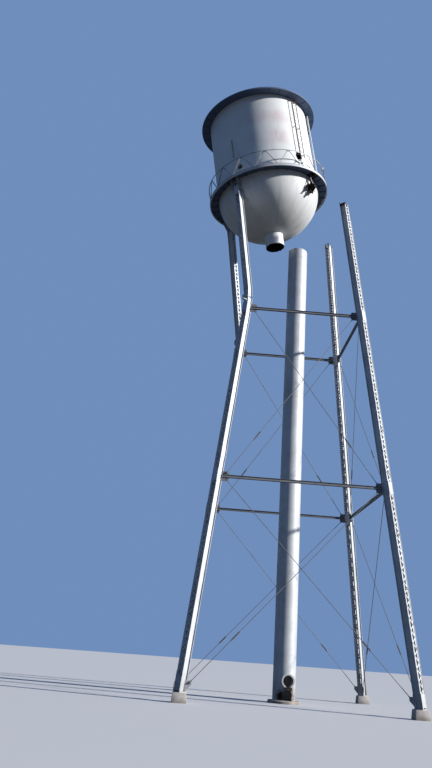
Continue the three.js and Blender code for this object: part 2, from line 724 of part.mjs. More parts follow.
function buildRoof(tank) {
  const soffit = SHELL_HEIGHT + SEAT_GAP;
  const rimTop = soffit + ROOF_EDGE;
  const apex = rimTop + ROOF_RISE;
  const pitch = ROOF_RISE / ROOF_RADIUS;
  const seat = TANK_RADIUS - ROOF_SEAT;
  const roof = [
    [0, apex - ROOF_PLATE],
    [seat, apex - ROOF_PLATE - pitch * seat],
    [seat, soffit],
    [ROOF_RADIUS, soffit],
    [ROOF_RADIUS, rimTop],
    [0, apex],
  ];
  tank.add(namedSolid("tank_roof", turned(roof, TANK_SIDES), tankPaint));

  const seatHeight = apex + SEAT_GAP;
  const hoodEdge = seatHeight + VENT_HEIGHT;
  const vent = [
    [0, seatHeight],
    [VENT_RADIUS, seatHeight - pitch * VENT_RADIUS],
    [VENT_RADIUS, hoodEdge],
    [VENT_HOOD_RADIUS, hoodEdge - 40],
    [VENT_HOOD_RADIUS, hoodEdge],
    [0, hoodEdge + VENT_HOOD_RISE],
  ];
  tank.add(namedSolid("roof_vent", turned(vent, TANK_SIDES), silverPaint));
}

const deckRadius = TANK_RADIUS + WALKWAY_WIDTH;

function buildBalcony(tank) {
  const deck = [
    [TANK_RADIUS + SEAT_GAP, -DECK_THICKNESS],
    [deckRadius, -DECK_THICKNESS],
    [deckRadius, 0],
    [TANK_RADIUS + SEAT_GAP, 0],
  ];
  tank.add(namedSolid("balcony_deck", turned(deck, TANK_SIDES), silverPaint));
  const edgeTop = -DECK_THICKNESS - SEAT_GAP;
  const edge = [
    [deckRadius - EDGE_CHANNEL_WIDTH, edgeTop - EDGE_CHANNEL_DEPTH],
    [deckRadius, edgeTop - EDGE_CHANNEL_DEPTH],
    [deckRadius, edgeTop],
    [deckRadius - EDGE_CHANNEL_WIDTH, edgeTop],
  ];
  tank.add(namedSolid("balcony_edge_channel", turned(edge, TANK_SIDES), silverPaint));
}

// A straight bar of square section between two points
function squareBar(start, end, width) {
  const way = end.clone().sub(start);
  const length = way.length();
  const turn = new THREE.Quaternion().setFromUnitVectors(new THREE.Vector3(0, 0, 1), way.normalize());
  const half = width / 2;
  const matrix = new THREE.Matrix4().compose(start, turn, new THREE.Vector3(1, 1, 1));
  return block([-half, -half, 0], [half, half, length], matrix);
}

// A quarter of the railing: a top rail on slanting bars that meet it in pairs
function railingQuarter(firstModule) {
  const moduleAngle = (2 * Math.PI) / RAIL_MODULES;
  const modules = RAIL_MODULES / 4;
  const radius = deckRadius - RAIL_BAR;
  const railHeight = RAIL_HEIGHT - RAIL_BAR / 2;
  const startAngle = RAIL_FIRST_APEX + (firstModule - 0.5) * moduleAngle;
  const endAngle = startAngle + modules * moduleAngle;
  const spare = RAIL_BAR / radius;
  const pointAt = (angle, height) =>
    new THREE.Vector3(radius * Math.cos(angle), radius * Math.sin(angle), height);

  const half = RAIL_BAR / 2;
  const section = new THREE.Shape([
    new THREE.Vector2(-half, -half),
    new THREE.Vector2(half, -half),
    new THREE.Vector2(half, half),
    new THREE.Vector2(-half, half),
  ]);
  const steps = modules * RAIL_STEPS_PER_MODULE;
  const route = new THREE.CurvePath();
  const span = endAngle - startAngle + 2 * spare;
  for (let index = 0; index < steps; index += 1) {
    const from = startAngle - spare + (span * index) / steps;
    const to = startAngle - spare + (span * (index + 1)) / steps;
    route.add(new THREE.LineCurve3(pointAt(from, railHeight), pointAt(to, railHeight)));
  }
  const rail = new THREE.ExtrudeGeometry(section, { steps, extrudePath: route, bevelEnabled: false });
  const pieces = [solidFrom(rail)];
  const footAngle = RAIL_FOOT_HALF_GAP / radius;
  for (let index = 0; index < modules; index += 1) {
    const apexAngle = startAngle + (index + 0.5) * moduleAngle;
    for (const side of [-1, 1]) {
      const foot = pointAt(apexAngle + side * (moduleAngle / 2 - footAngle), -RAIL_BAR);
      pieces.push(squareBar(foot, pointAt(apexAngle, railHeight), RAIL_BAR * 0.8));
    }
  }
  const deckTop = beyondPlane(new THREE.Vector3(0, 0, SEAT_GAP), new THREE.Vector3(0, 0, -1));
  return withinAngles(joined(pieces).subtract(deckTop), startAngle, endAngle);
}

function buildRailing(tank) {
  const firstModules = [-1, 3, 7, 11];
  QUARTERS.forEach((name, index) => {
    tank.add(namedSolid("railing_" + name, railingQuarter(firstModules[index]), silverPaint));
  });
}

// The cap plate and cheek plates that join a leg's head to the tank, in the tank's frame
function headPlates(corner, cheekDrop) {
  const facing = new THREE.Matrix4().makeRotationZ(cornerAzimuth(corner));
  const inside = TANK_RADIUS - 300;
  const capTop = -DECK_THICKNESS - SEAT_GAP;
  const cap = block(
    [inside, -CAP_HALF_WIDTH, capUnderside],
    [CAP_OUTER_RADIUS, CAP_HALF_WIDTH, capTop],
    facing,
  );
  const cheeks = [-1, 1].map((side) => {
    const outline = [
      [inside, capTop - 5],
      [inside, -cheekDrop],
      [CHEEK_FOOT_RADIUS, -cheekDrop],
      [CAP_OUTER_RADIUS - 60, capTop - 260],
      [CAP_OUTER_RADIUS - 60, capTop - 5],
    ];
    const across = side * (COLUMN_BREADTH / 2 + CHEEK_THICKNESS / 2 - CHEEK_BITE);
    const place = new THREE.Matrix4().makeTranslation(0, across, 0);
    return uprightPlate(outline, CHEEK_THICKNESS, facing.clone().multiply(place));
  });
  return { cap, cheeks, facing };
}

// What is left of a right-hand leg under the balcony: torn, splayed webs and a ragged outer face
function tornStub(corner) {
  const { cap, facing } = headPlates(corner, CHEEK_DROP);
  const inside = TANK_RADIUS - 300;
  const top = -DECK_THICKNESS - SEAT_GAP - 5;
  const webOutline = [
    [inside, top],
    [inside, -1000],
    [3420, -STUB_DROP],
    [3500, -1080],
    [3580, -STUB_DROP + 90],
    [3640, -1000],
    [3720, -1180],
    [3700, -600],
    [CAP_OUTER_RADIUS - 60, top],
  ];
  const webs = [-1, 1].map((side) => {
    const lean = new THREE.Matrix4().makeRotationX(side * Math.atan(STUB_SPLAY / STUB_DROP));
    const place = new THREE.Matrix4().makeTranslation(0, side * (COLUMN_BREADTH / 2 - CHANNEL_WEB), 0);
    return uprightPlate(webOutline, CHEEK_THICKNESS, facing.clone().multiply(place).multiply(lean));
  });
  const faceOutline = [
    [-230, top],
    [-240, -620],
    [-120, -900],
    [-60, -560],
    [50, -980],
    [130, -620],
    [250, -760],
    [230, top],
  ];
  const turn = new THREE.Matrix4().makeRotationZ(Math.PI / 2).setPosition(3620, 0, 0);
  const face = uprightPlate(faceOutline, CHEEK_THICKNESS, facing.clone().multiply(turn));
  return joined([cap, ...webs, face]).subtract(tankEnvelope());
}

function buildLegHeads(tank, upperEnvelopes) {
  const toTank = tankFrame().invert();
  for (const corner of CORNERS) {
    if (corner.x > 0) {
      tank.add(namedSolid("leg_stub_" + corner.name, tornStub(corner), tornSteel));
      continue;
    }
    const { cap, cheeks } = headPlates(corner, CHEEK_DROP);
    const leg = solidFrom(geometryFrom(upperEnvelopes[corner.name]), toTank);
    const capBottom = beyondPlane(new THREE.Vector3(0, 0, capUnderside), new THREE.Vector3(0, 0, 1));
    const legBelowCap = leg.subtract(capBottom);
    const head = joined([cap, ...cheeks]).subtract(legBelowCap).subtract(tankEnvelope());
    tank.add(namedSolid("leg_head_" + corner.name, largestBody(head), darkSteel));
  }
}

function buildLadder(tank) {
  const facing = new THREE.Matrix4().makeRotationZ(LADDER_AZIMUTH);
  const middle = TANK_RADIUS + LADDER_STANDOFF;
  const halfDepth = LADDER_STILE_DEPTH / 2;
  const halfThick = LADDER_STILE_THICKNESS / 2;
  const pieces = [];
  for (const side of [-1, 1]) {
    const across = side * (LADDER_WIDTH / 2);
    const stileLow = [middle - halfDepth, across - halfThick, LADDER_FOOT];
    const stileHigh = [middle + halfDepth, across + halfThick, LADDER_TOP];
    pieces.push(block(stileLow, stileHigh, facing));
    for (const level of LADDER_TIE_LEVELS) {
      const halfTie = TIE_BAR / 2;
      const low = [TANK_RADIUS - 200, across - halfThick - 8, level - halfTie];
      const high = [middle, across + halfThick + 8, level + halfTie];
      pieces.push(block(low, high, facing));
    }
  }
  const half = LADDER_RUNG / 2;
  for (let level = LADDER_FOOT + 100; level < LADDER_TOP; level += LADDER_RUNG_STEP) {
    const low = [middle - half, -LADDER_WIDTH / 2, level - half];
    const high = [middle + half, LADDER_WIDTH / 2, level + half];
    pieces.push(block(low, high, facing));
  }
  tank.add(namedSolid("tank_ladder", joined(pieces).subtract(tankEnvelope()), silverPaint));
}

function buildConduit(tank) {
  const facing = new THREE.Matrix4().makeRotationZ(CONDUIT_AZIMUTH);
  const length = CONDUIT_TOP - SEAT_GAP;
  const pipe = new THREE.CylinderGeometry(CONDUIT_RADIUS, CONDUIT_RADIUS, length, 8).rotateX(Math.PI / 2);
  pipe.translate(TANK_RADIUS + CONDUIT_STANDOFF, 0, SEAT_GAP + length / 2);
  const pieces = [solidFrom(pipe, facing)];
  const half = TIE_BAR / 2;
  for (const level of CONDUIT_TIE_LEVELS) {
    const low = [TANK_RADIUS - 200, -half, level - half];
    const high = [TANK_RADIUS + CONDUIT_STANDOFF, half, level + half];
    pieces.push(block(low, high, facing));
  }
  tank.add(namedSolid("tank_conduit", joined(pieces).subtract(tankEnvelope()), silverPaint));
}

const tower = new THREE.Group();
buildPiers(tower);
const upperEnvelopes = buildLegs(tower);
buildFaces(tower);
buildRiser(tower);

const tank = new THREE.Group();
tankFrame().decompose(tank.position, tank.quaternion, tank.scale);
tank.scale.set(1, 1, 1);
tower.add(tank);
buildTank(tank);
buildRoof(tank);
buildBalcony(tank);
buildRailing(tank);
buildLegHeads(tank, upperEnvelopes);
buildLadder(tank);
buildConduit(tank);

export default tower;
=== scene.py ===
# A four-legged steel water tower, caught while it is being pulled down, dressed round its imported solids.
# Both right-hand legs and the riser pipe are cut through, the left-hand legs have buckled above the upper
# struts, and the tank leans to the left on them.
# Metres, +Z up. The origin is on the ground on the riser's centre line, the front is -Y, the right is +X.
import math
import random
from contextlib import contextmanager

import bmesh
import bpy
from bpy.props import FloatProperty, FloatVectorProperty, IntProperty, PointerProperty
from bpy.types import Operator, Panel, PropertyGroup
from mathutils import Matrix, Vector


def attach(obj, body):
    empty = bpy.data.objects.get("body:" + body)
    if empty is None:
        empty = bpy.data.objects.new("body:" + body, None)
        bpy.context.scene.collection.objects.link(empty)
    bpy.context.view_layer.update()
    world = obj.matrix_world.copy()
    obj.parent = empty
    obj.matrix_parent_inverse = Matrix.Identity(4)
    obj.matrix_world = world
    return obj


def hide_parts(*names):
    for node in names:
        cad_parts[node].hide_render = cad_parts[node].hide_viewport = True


bl_info = {
    "name": "Falling Water Tower",
    "version": (1, 0, 0),
    "blender": (4, 5, 0),
    "location": "View3D > Sidebar > Water Tower",
    "description": "Builds a laced four-legged steel water tower that is being pulled down",
    "category": "Object",
}

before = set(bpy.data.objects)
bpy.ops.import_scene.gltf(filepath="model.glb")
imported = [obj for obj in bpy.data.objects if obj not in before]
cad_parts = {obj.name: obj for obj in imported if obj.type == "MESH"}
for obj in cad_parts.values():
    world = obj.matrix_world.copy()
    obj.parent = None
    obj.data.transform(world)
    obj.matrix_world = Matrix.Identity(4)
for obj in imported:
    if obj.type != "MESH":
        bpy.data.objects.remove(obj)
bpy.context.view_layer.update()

# Footings
PIER_HEIGHT = 0.45
PIER_TOP_WIDTH = 0.64
PIER_FOOT_WIDTH = 0.72
RISER_PAD_RADIUS = 0.86
RISER_PAD_HEIGHT = 0.15

# Legs: X of a column points away from the tower, Y across it and Z up it
FOOT_HALF_SPREAD = 5.556
LEG_SLOPE = 0.1038
HALF_DEPTH = 0.1905
HALF_BREADTH = 0.185
WEB = 0.014
FLANGE = 0.016
FLANGE_WIDTH = 0.086
FLANGE_FACE = HALF_DEPTH - 0.001
BASE_PLATE_WIDTH = 0.44
BASE_PLATE = 0.032
LOWER_STRUT_LEVEL = 10.885
UPPER_STRUT_LEVEL = 21.365
BUCKLE_LEVEL = 22.076
CUT_LEVEL = 29.937
COLUMN_SPARE = 0.3
RIVET_LINE = HALF_BREADTH - FLANGE_WIDTH / 2
LEG_STEEPNESS = math.cos(math.atan(LEG_SLOPE * math.sqrt(2)))

# Struts, gussets and brace rods, in the frame of one face of the tower
STRUT_DEPTH = 0.152
STRUT_CHANNEL_WIDTH = 0.048
STRUT_WEB = 0.010
STRUT_SPACING = 0.018
GUSSET = 0.016
GUSSET_REACH = 0.600
GUSSET_HALF_HEIGHT = 0.270
GUSSET_CORNER = 0.090
ROD_RADIUS = 0.017
PIN_INSET = 0.480
PIN_DROP = 0.190
FOOT_PIN_INSET = 0.420
FOOT_PIN_RISE = 0.420

# Riser
RISER_RADIUS = 0.610
RISER_WALL = 0.016
RISER_TOP_LEVEL = 27.52
RISER_BASE_TOP = 2.44
RISER_CUT_SLOPE = 0.12
MANHOLE_LEVEL = 1.12
MANHOLE_RADIUS = 0.280
MANHOLE_REACH = 0.120
MANHOLE_AZIMUTH = math.radians(-81)
NOTCH_WIDTH = 0.520
NOTCH_HEIGHT = 0.560
RISER_SIDES = 64
WELD_COURSE = 2.44

# Tank, measured from the balcony plane along its own axis
TANK_CENTRE = Vector((-2.205, -0.439, 31.211))
TANK_LEAN_LEFT = math.radians(9.86)
TANK_LEAN_FRONT = math.radians(1.7)
TANK_TWIST = math.radians(1.48)
TANK_RADIUS = 3.350
TANK_WALL = 0.014
SHELL_HEIGHT = 5.840
BOWL_DEPTH = 2.940
NECK_RADIUS = 0.610
NECK_BOTTOM = -3.776
ROOF_RADIUS = 3.936
ROOF_RISE = 1.600
ROOF_EDGE = 0.070
DECK_RADIUS = TANK_RADIUS + 0.626
DECK = 0.030
SEAT_GAP = 0.0003
UNDER_DECK = -DECK - SEAT_GAP
TANK_SIDES = 144
SHELL_COURSES = 3
PLATES_IN_COURSE = 6
BOWL_GORES = 16
ROOF_SHEETS = 16
SOFFIT_BARS = 32
WALKWAY_PLATES = 16
WALKWAY_RIBS = 32
EDGE_SPLICES = 8
TANK_RIVET = 0.014
EDGE_DEPTH = 0.150
EDGE_WIDTH = 0.055
RAIL_HEIGHT = 1.030
RAIL_BAR = 0.056
RAIL_MODULES = 16
RAIL_FIRST_APEX = math.radians(-98.5)
LEG_TOP_RADIUS = 3.370
LEG_TOP_DROP = 0.250
LADDER_AZIMUTH = math.radians(-54.3)
LADDER_WIDTH = 0.400
LADDER_STANDOFF = 0.160
LADDER_FOOT = 1.150
LADDER_TOP = 5.780
RUNG_PITCH = 0.305
CONDUIT_AZIMUTH = math.radians(-18)
CONDUIT_STANDOFF = 0.130
CONDUIT_TOP = 5.80
GAUGE_AZIMUTH = math.radians(-134)

# Camera: place, the ways that its right, its top and its view point, and its lens
CAMERA_PLACE = Vector((-5.711, -40.828, 2.126))
CAMERA_RIGHT = Vector((0.99645, -0.04845, 0.06890))
CAMERA_UP = Vector((-0.08162, -0.35334, 0.93193))
CAMERA_VIEW = Vector((0.02081, 0.93424, 0.35604))
CAMERA_LENS = 33.28

# Floor
FLOOR_SIZE = 600

CORNERS = {
    "front_right": (1, -1),
    "back_right": (1, 1),
    "back_left": (-1, 1),
    "front_left": (-1, -1),
}
FACES = ("front", "right", "back", "left")


# Frames


def moved(x, y, z):
    return Matrix.Translation((x, y, z))


def turned_about(axis, angle):
    return Matrix.Rotation(angle, 4, axis)


def frame_of(x_way, y_way, z_way, origin):
    """A frame from its three directions and its origin."""
    columns = Matrix((x_way, y_way, z_way)).transposed().to_4x4()
    return Matrix.Translation(origin) @ columns


def frame_along(start, end, toward=None):
    """A frame at a start point whose Z runs to an end point, with X as near as it can be to a direction."""
    way = (Vector(end) - Vector(start)).normalized()
    if toward is None:
        toward = Vector((0, 0, 1)) if abs(way.z) < 0.9 else Vector((1, 0, 0))
    across = way.cross(Vector(toward)).normalized()
    return frame_of(across.cross(way), across, way, start)


def half_spread_at(level):
    return FOOT_HALF_SPREAD - LEG_SLOPE * (level - PIER_HEIGHT)


def leg_point(corner, level):
    half = half_spread_at(level)
    return Vector((corner[0] * half, corner[1] * half, level))


def up_leg(level):
    """How far up a leg's centre line a level is."""
    return (level - PIER_HEIGHT) / LEG_STEEPNESS


def column_frame(foot, head, corner):
    """X away from the tower, Y across it, Z up the column's centre line."""
    outward = Vector((corner[0], corner[1], 0))
    along = (head - foot).normalized()
    across = along.cross(outward).normalized()
    return frame_of(across.cross(along), across, along, foot)


FACE_TILT = math.atan(LEG_SLOPE)


def face_frame(index):
    """One face of the tower: X along it, -Y out of it, Z up its slope from the top of the piers."""
    turn = turned_about("Z", math.radians(90 * index))
    return turn @ moved(0, -FOOT_HALF_SPREAD, PIER_HEIGHT) @ turned_about("X", -FACE_TILT)


def height_on_face(level):
    return (level - PIER_HEIGHT) / math.cos(FACE_TILT)


def tank_frame():
    """Origin on the tank's axis in the balcony plane, Z up the leaning axis."""
    axis = Vector((-math.tan(TANK_LEAN_LEFT), -math.tan(TANK_LEAN_FRONT), 1)).normalized()
    right = Vector((0, 1, 0)).cross(axis).normalized()
    return frame_of(right, axis.cross(right), axis, TANK_CENTRE)


TANK = tank_frame()


def tank_point(azimuth, radius, height):
    return TANK @ Vector((radius * math.cos(azimuth), radius * math.sin(azimuth), height))


def corner_azimuth(corner):
    return math.atan2(corner[1], corner[0]) + TANK_TWIST


def leg_top(corner):
    return tank_point(corner_azimuth(corner), LEG_TOP_RADIUS, -LEG_TOP_DROP)


UPRIGHT = turned_about("X", math.pi / 2)
TO_X = turned_about("Y", math.pi / 2)
HALF_TURN = turned_about("Z", math.pi)


def out_along_y(side):
    """Turns Z to the +Y side (1) or to the -Y side (-1)."""
    return turned_about("X", -side * math.pi / 2)


def round_turns(count, start=0.0):
    """Even turns about Z."""
    return [turned_about("Z", 2 * math.pi * index / count + start) for index in range(count)]


def grid_of(frame_matrix, xs, ys):
    """A frame at each crossing of rows and columns on the X-Y plane of a frame."""
    return [frame_matrix @ moved(x, y, 0) for x in xs for y in ys]


def spread(low, high, count):
    """Evenly spaced numbers from low to high."""
    return [low + (high - low) * index / (count - 1) for index in range(count)]


# Modelling steps


def make_active(piece):
    bpy.ops.object.select_all(action="DESELECT")
    piece.select_set(True)
    bpy.context.view_layer.objects.active = piece


@contextmanager
def editing(piece, mode="VERT"):
    """Edit mode on one piece, with nothing selected."""
    make_active(piece)
    bpy.ops.object.mode_set(mode="EDIT")
    bpy.ops.mesh.select_mode(type=mode)
    bpy.ops.mesh.select_all(action="DESELECT")
    yield
    bpy.ops.object.mode_set(mode="OBJECT")


def pick(piece, kind, wanted):
    """Selects, in edit mode, the vertices, edges or faces that pass a test of their middle and normal."""
    mesh = bmesh.from_edit_mesh(piece.data)
    for part in getattr(mesh, kind):
        corners = [part.co] if kind == "verts" else [corner.co for corner in part.verts]
        middle = sum(corners, Vector()) / len(corners)
        part.select_set(bool(wanted(middle, getattr(part, "normal", None))))
    mesh.select_flush_mode()
    bmesh.update_edit_mesh(piece.data)


def placed(piece, matrix):
    """Puts a frame into a piece's mesh, so that its object stays at the origin."""
    piece.data.transform(matrix)
    piece.data.update()
    return piece


def beveled(piece, offset, wanted=lambda middle, normal: True, segments=1):
    """Breaks the edges that pass a test."""
    with editing(piece, "EDGE"):
        pick(piece, "edges", wanted)
        bpy.ops.mesh.bevel(offset=offset, segments=segments)
    return piece


def tapered(piece, x_share, y_share):
    """Draws in the top face of a piece."""
    with editing(piece, "FACE"):
        pick(piece, "faces", lambda middle, normal: normal.z > 0.9)
        bpy.ops.transform.resize(value=(x_share, y_share, 1))
    return piece


def pulled(piece, wanted, step):
    """Extrudes the faces that pass a test."""
    with editing(piece, "FACE"):
        pick(piece, "faces", wanted)
        bpy.ops.mesh.extrude_region_move(TRANSFORM_OT_translate={"value": step})
    return piece


def block(low, high, broken=0.0):
    """A block between two corners, with its edges broken by a small bevel."""
    low = Vector(low)
    high = Vector(high)
    bpy.ops.mesh.primitive_cube_add(size=1, location=(low + high) / 2, scale=high - low)
    piece = bpy.context.object
    bpy.ops.object.transform_apply()
    return beveled(piece, broken) if broken else piece


def cylinder(radius, depth, sides, middle=0.0):
    """A cylinder about Z."""
    bpy.ops.mesh.primitive_cylinder_add(vertices=sides, radius=radius, depth=depth, location=(0, 0, middle))
    bpy.ops.object.transform_apply()
    return bpy.context.object


def first_point(place):
    """Starts a drawn outline with one point."""
    bpy.ops.mesh.primitive_plane_add(size=0.01, location=place)
    bpy.ops.object.transform_apply()
    bpy.ops.object.mode_set(mode="EDIT")
    bpy.ops.mesh.select_mode(type="VERT")
    bpy.ops.mesh.select_all(action="SELECT")
    bpy.ops.mesh.merge(type="CENTER")
    return bpy.context.object


def draw_on(points):
    """Extrudes the selected point from one place to the next."""
    for before, after in zip(points, points[1:]):
        step = Vector(after) - Vector(before)
        bpy.ops.mesh.extrude_region_move(TRANSFORM_OT_translate={"value": step})


def drawn(outline, thickness):
    """A plate in the X-Y plane: an outline drawn point by point, filled, and extruded to its thickness."""
    points = [(x, y, -thickness / 2) for x, y in outline]
    piece = first_point(points[0])
    draw_on(points)
    bpy.ops.mesh.select_all(action="SELECT")
    bpy.ops.mesh.edge_face_add()
    bpy.ops.mesh.extrude_region_move(TRANSFORM_OT_translate={"value": (0, 0, thickness)})
    bpy.ops.mesh.select_all(action="SELECT")
    bpy.ops.mesh.normals_make_consistent(inside=False)
    bpy.ops.object.mode_set(mode="OBJECT")
    return piece


def lathed(outline, steps, closed=True, sweep=2 * math.pi, start=0.0):
    """A turned form about Z from an outline of (radius, height) points."""
    turn = Matrix.Rotation(start, 3, "Z")
    points = [turn @ Vector((radius, 0, height)) for radius, height in outline]
    piece = first_point(points[0])
    draw_on(points)
    if closed:
        pick(piece, "verts", lambda co, normal: min((co - points[0]).length, (co - points[-1]).length) < 1e-5)
        bpy.ops.mesh.edge_face_add()
    bpy.ops.mesh.select_all(action="SELECT")
    if closed and sweep < 2 * math.pi:
        bpy.ops.mesh.edge_face_add()
    bpy.ops.mesh.spin(steps=steps, angle=sweep, center=(0, 0, 0), axis=(0, 0, 1))
    bpy.ops.mesh.select_all(action="SELECT")
    bpy.ops.mesh.remove_doubles(threshold=1e-5)
    bpy.ops.mesh.normals_make_consistent(inside=False)
    bpy.ops.object.mode_set(mode="OBJECT")
    return piece


def band(inner, outer, low, high):
    """The outline of a ring with a square section."""
    return [(inner, low), (outer, low), (outer, high), (inner, high)]


def joined(pieces):
    make_active(pieces[0])
    for piece in pieces:
        piece.select_set(True)
    if len(pieces) > 1:
        bpy.ops.object.join()
    return pieces[0]


def copied(piece, matrix):
    """A copy with a mesh of its own, put through a frame."""
    copy = piece.copy()
    copy.data = piece.data.copy()
    bpy.context.scene.collection.objects.link(copy)
    return placed(copy, matrix)


def repeated(model, frames):
    """The model copied to each frame, and the copies joined. The model itself goes."""
    copies = [copied(model, matrix) for matrix in frames]
    bpy.data.objects.remove(model)
    return joined(copies)


def doubled(pieces):
    """Pieces joined with their copy on the other side of Z."""
    one = joined(pieces)
    return joined([one, copied(one, HALF_TURN)])


def mirrored(piece, matrix):
    """A piece joined with its mirror image."""
    image = copied(piece, matrix)
    image.data.flip_normals()
    return joined([piece, image])


def applied(piece, kind, **settings):
    """Adds a modifier with its settings and applies it."""
    modifier = piece.modifiers.new(kind, kind)
    for key, value in settings.items():
        setattr(modifier, key, value)
    make_active(piece)
    bpy.ops.object.modifier_apply(modifier=modifier.name)
    return piece


def holed(piece, cutter):
    """Takes the cutter's shape out of a piece. The cutter itself goes."""
    applied(piece, "BOOLEAN", object=cutter, operation="DIFFERENCE", solver="EXACT")
    bpy.data.objects.remove(cutter)
    return piece


def cut(piece, point, normal, fill=True, remove=True):
    """Bisects a piece, and takes off what lies on the side that the normal points to."""
    with editing(piece):
        bpy.ops.mesh.select_all(action="SELECT")
        bpy.ops.mesh.bisect(plane_co=point, plane_no=normal, use_fill=fill and remove, clear_outer=remove)
    return piece


def shaped(piece, change):
    """Moves each vertex of a piece to where a rule puts it."""
    for vertex in piece.data.vertices:
        vertex.co = change(vertex.co.copy())
    piece.data.update()
    return piece


def round_bar(start, end, radius, sides=10):
    length = (Vector(end) - Vector(start)).length
    return placed(cylinder(radius, length, sides, length / 2), frame_along(start, end))


def flat_bar(start, end, width, thickness, toward=None):
    """A flat bar whose thickness lies along X of its frame, as near as can be to a direction."""
    length = (Vector(end) - Vector(start)).length
    piece = block((-thickness / 2, -width / 2, 0), (thickness / 2, width / 2, length))
    return placed(piece, frame_along(start, end, toward))


def rivets(frames, radius=None, height=0.011):
    """Round heads that stand on the X-Y planes of the frames."""
    radius = radius or bpy.context.scene.tower_sizes.rivet_radius
    bpy.ops.mesh.primitive_uv_sphere_add(segments=8, ring_count=4, radius=radius)
    head = cut(bpy.context.object, (0, 0, 0), (0, 0, -1), fill=False)
    return repeated(placed(head, Matrix.Diagonal((1, 1, height / radius, 1))), frames)


def bolt_head(radius, height, stem=0.0):
    """A hexagon head or nut on a washer, with the end of its thread if it has one."""
    washer = 0.004
    nut = cylinder(radius, height, 6, washer + height / 2)
    with editing(nut, "FACE"):
        pick(nut, "faces", lambda middle, normal: normal.z > 0.9)
        bpy.ops.mesh.inset(thickness=radius * 0.15)
        bpy.ops.transform.translate(value=(0, 0, height * 0.12))
    pieces = [cylinder(radius * 1.3, washer, 12, washer / 2), nut]
    if stem:
        pieces.append(cylinder(radius * 0.5, stem, 8, washer + height + stem / 2))
    return joined(pieces)


def finished(piece, name, slot, surface_name, *nodes):
    """Names a finished piece, gives it its surface and ties it to the tower."""
    piece.name = name
    piece.data.name = name
    make_active(piece)
    bpy.ops.object.shade_smooth_by_angle(angle=math.radians(32))
    piece.data.materials.clear()
    piece.data.materials.append(surface(surface_name))
    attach(piece, "root")
    if nodes:
        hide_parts(*nodes)
    return piece


# Surfaces


def plain_inputs(made, inputs):
    """Links or sets a node's inputs, given by their number or name."""
    tree = made.id_data
    for key, value in inputs.items():
        socket = made.inputs[key]
        if isinstance(value, bpy.types.NodeSocket):
            tree.links.new(value, socket)
        else:
            socket.default_value = value


def add(tree, kind, inputs=None, **settings):
    made = tree.nodes.new(kind)
    for key, value in settings.items():
        setattr(made, key, value)
    plain_inputs(made, inputs or {})
    return made


def calc(tree, operation, first, second=0.0, clamp=False):
    return add(tree, "ShaderNodeMath", {0: first, 1: second}, operation=operation, use_clamp=clamp).outputs[0]


def times(tree, first, second):
    return calc(tree, "MULTIPLY", first, second)


def plus(tree, first, second, clamp=False):
    return calc(tree, "ADD", first, second, clamp)


def clouds(tree, vector, scale, detail=4.0, roughness=0.55, distortion=0.0):
    inputs = {"Vector": vector, "Scale": scale, "Detail": detail}
    inputs |= {"Roughness": roughness, "Distortion": distortion}
    return add(tree, "ShaderNodeTexNoise", inputs).outputs["Fac"]


def parts_of(tree, vector):
    return add(tree, "ShaderNodeSeparateXYZ", {0: vector}).outputs


def ranged(tree, value, low, high, to_low=0.0, to_high=1.0):
    """A smooth rise from one level to another while the value goes from low to high."""
    inputs = {"Value": value, "From Min": low, "From Max": high, "To Min": to_low, "To Max": to_high}
    return add(tree, "ShaderNodeMapRange", inputs, interpolation_type="SMOOTHSTEP").outputs[0]


def mixed(tree, share, first, second):
    return add(tree, "ShaderNodeMix", {0: share, 6: first, 7: second}, data_type="RGBA").outputs[2]


def tint(name):
    """One of the tower's colours, as a shader takes it."""
    return (*getattr(bpy.context.scene.tower_colours, name), 1)


def group_with(name, inputs, outputs):
    """A new node group with a vector, named numbers and colours going in, and its two end nodes."""
    tree = bpy.data.node_groups.new(name, "ShaderNodeTree")
    tree.interface.new_socket("Vector", in_out="INPUT", socket_type="NodeSocketVector")
    for label, default in inputs.items():
        kind = "NodeSocketColor" if isinstance(default, tuple) else "NodeSocketFloat"
        tree.interface.new_socket(label, in_out="INPUT", socket_type=kind).default_value = default
    for label in outputs:
        kind = "NodeSocketColor" if label == "Colour" else "NodeSocketFloat"
        tree.interface.new_socket(label, in_out="OUTPUT", socket_type=kind)
    return tree, tree.nodes.new("NodeGroupInput").outputs, tree.nodes.new("NodeGroupOutput")


NODE_GROUPS = {}


def placed_group(tree, maker, **inputs):
    """Puts a node group into a material with its own values, whose names use _ for a space."""
    if maker not in NODE_GROUPS:
        NODE_GROUPS[maker] = maker()
    made = add(tree, "ShaderNodeGroup", node_tree=NODE_GROUPS[maker])
    plain_inputs(made, {key.replace("_", " "): value for key, value in inputs.items()})
    return made.outputs


def rust_group():
    """Rust that breaks through paint in patches and pits."""
    inputs = {"Scale": 1.0, "Cover": 0.3, "Extra": 0.0, "Colour": (0.25, 0.09, 0.04, 1)}
    tree, start, end = group_with("Rust Patches", inputs, ("Mask", "Colour", "Height"))
    broad = clouds(tree, start["Vector"], start["Scale"], 5.0, 0.62, 0.4)
    fine = clouds(tree, start["Vector"], times(tree, start["Scale"], 7.3), 4.0, 0.7)
    both = plus(tree, times(tree, broad, 0.72), times(tree, fine, 0.28))
    wanted = plus(tree, both, times(tree, start["Extra"], 0.35))
    edge = calc(tree, "SUBTRACT", 0.78, times(tree, start["Cover"], 0.4))
    mask = ranged(tree, calc(tree, "SUBTRACT", wanted, edge), -0.03, 0.07)
    darker = mixed(tree, fine, start["Colour"], (0.05, 0.022, 0.014, 1))
    plain_inputs(end, {"Mask": mask, "Colour": darker, "Height": times(tree, mask, fine)})
    return tree


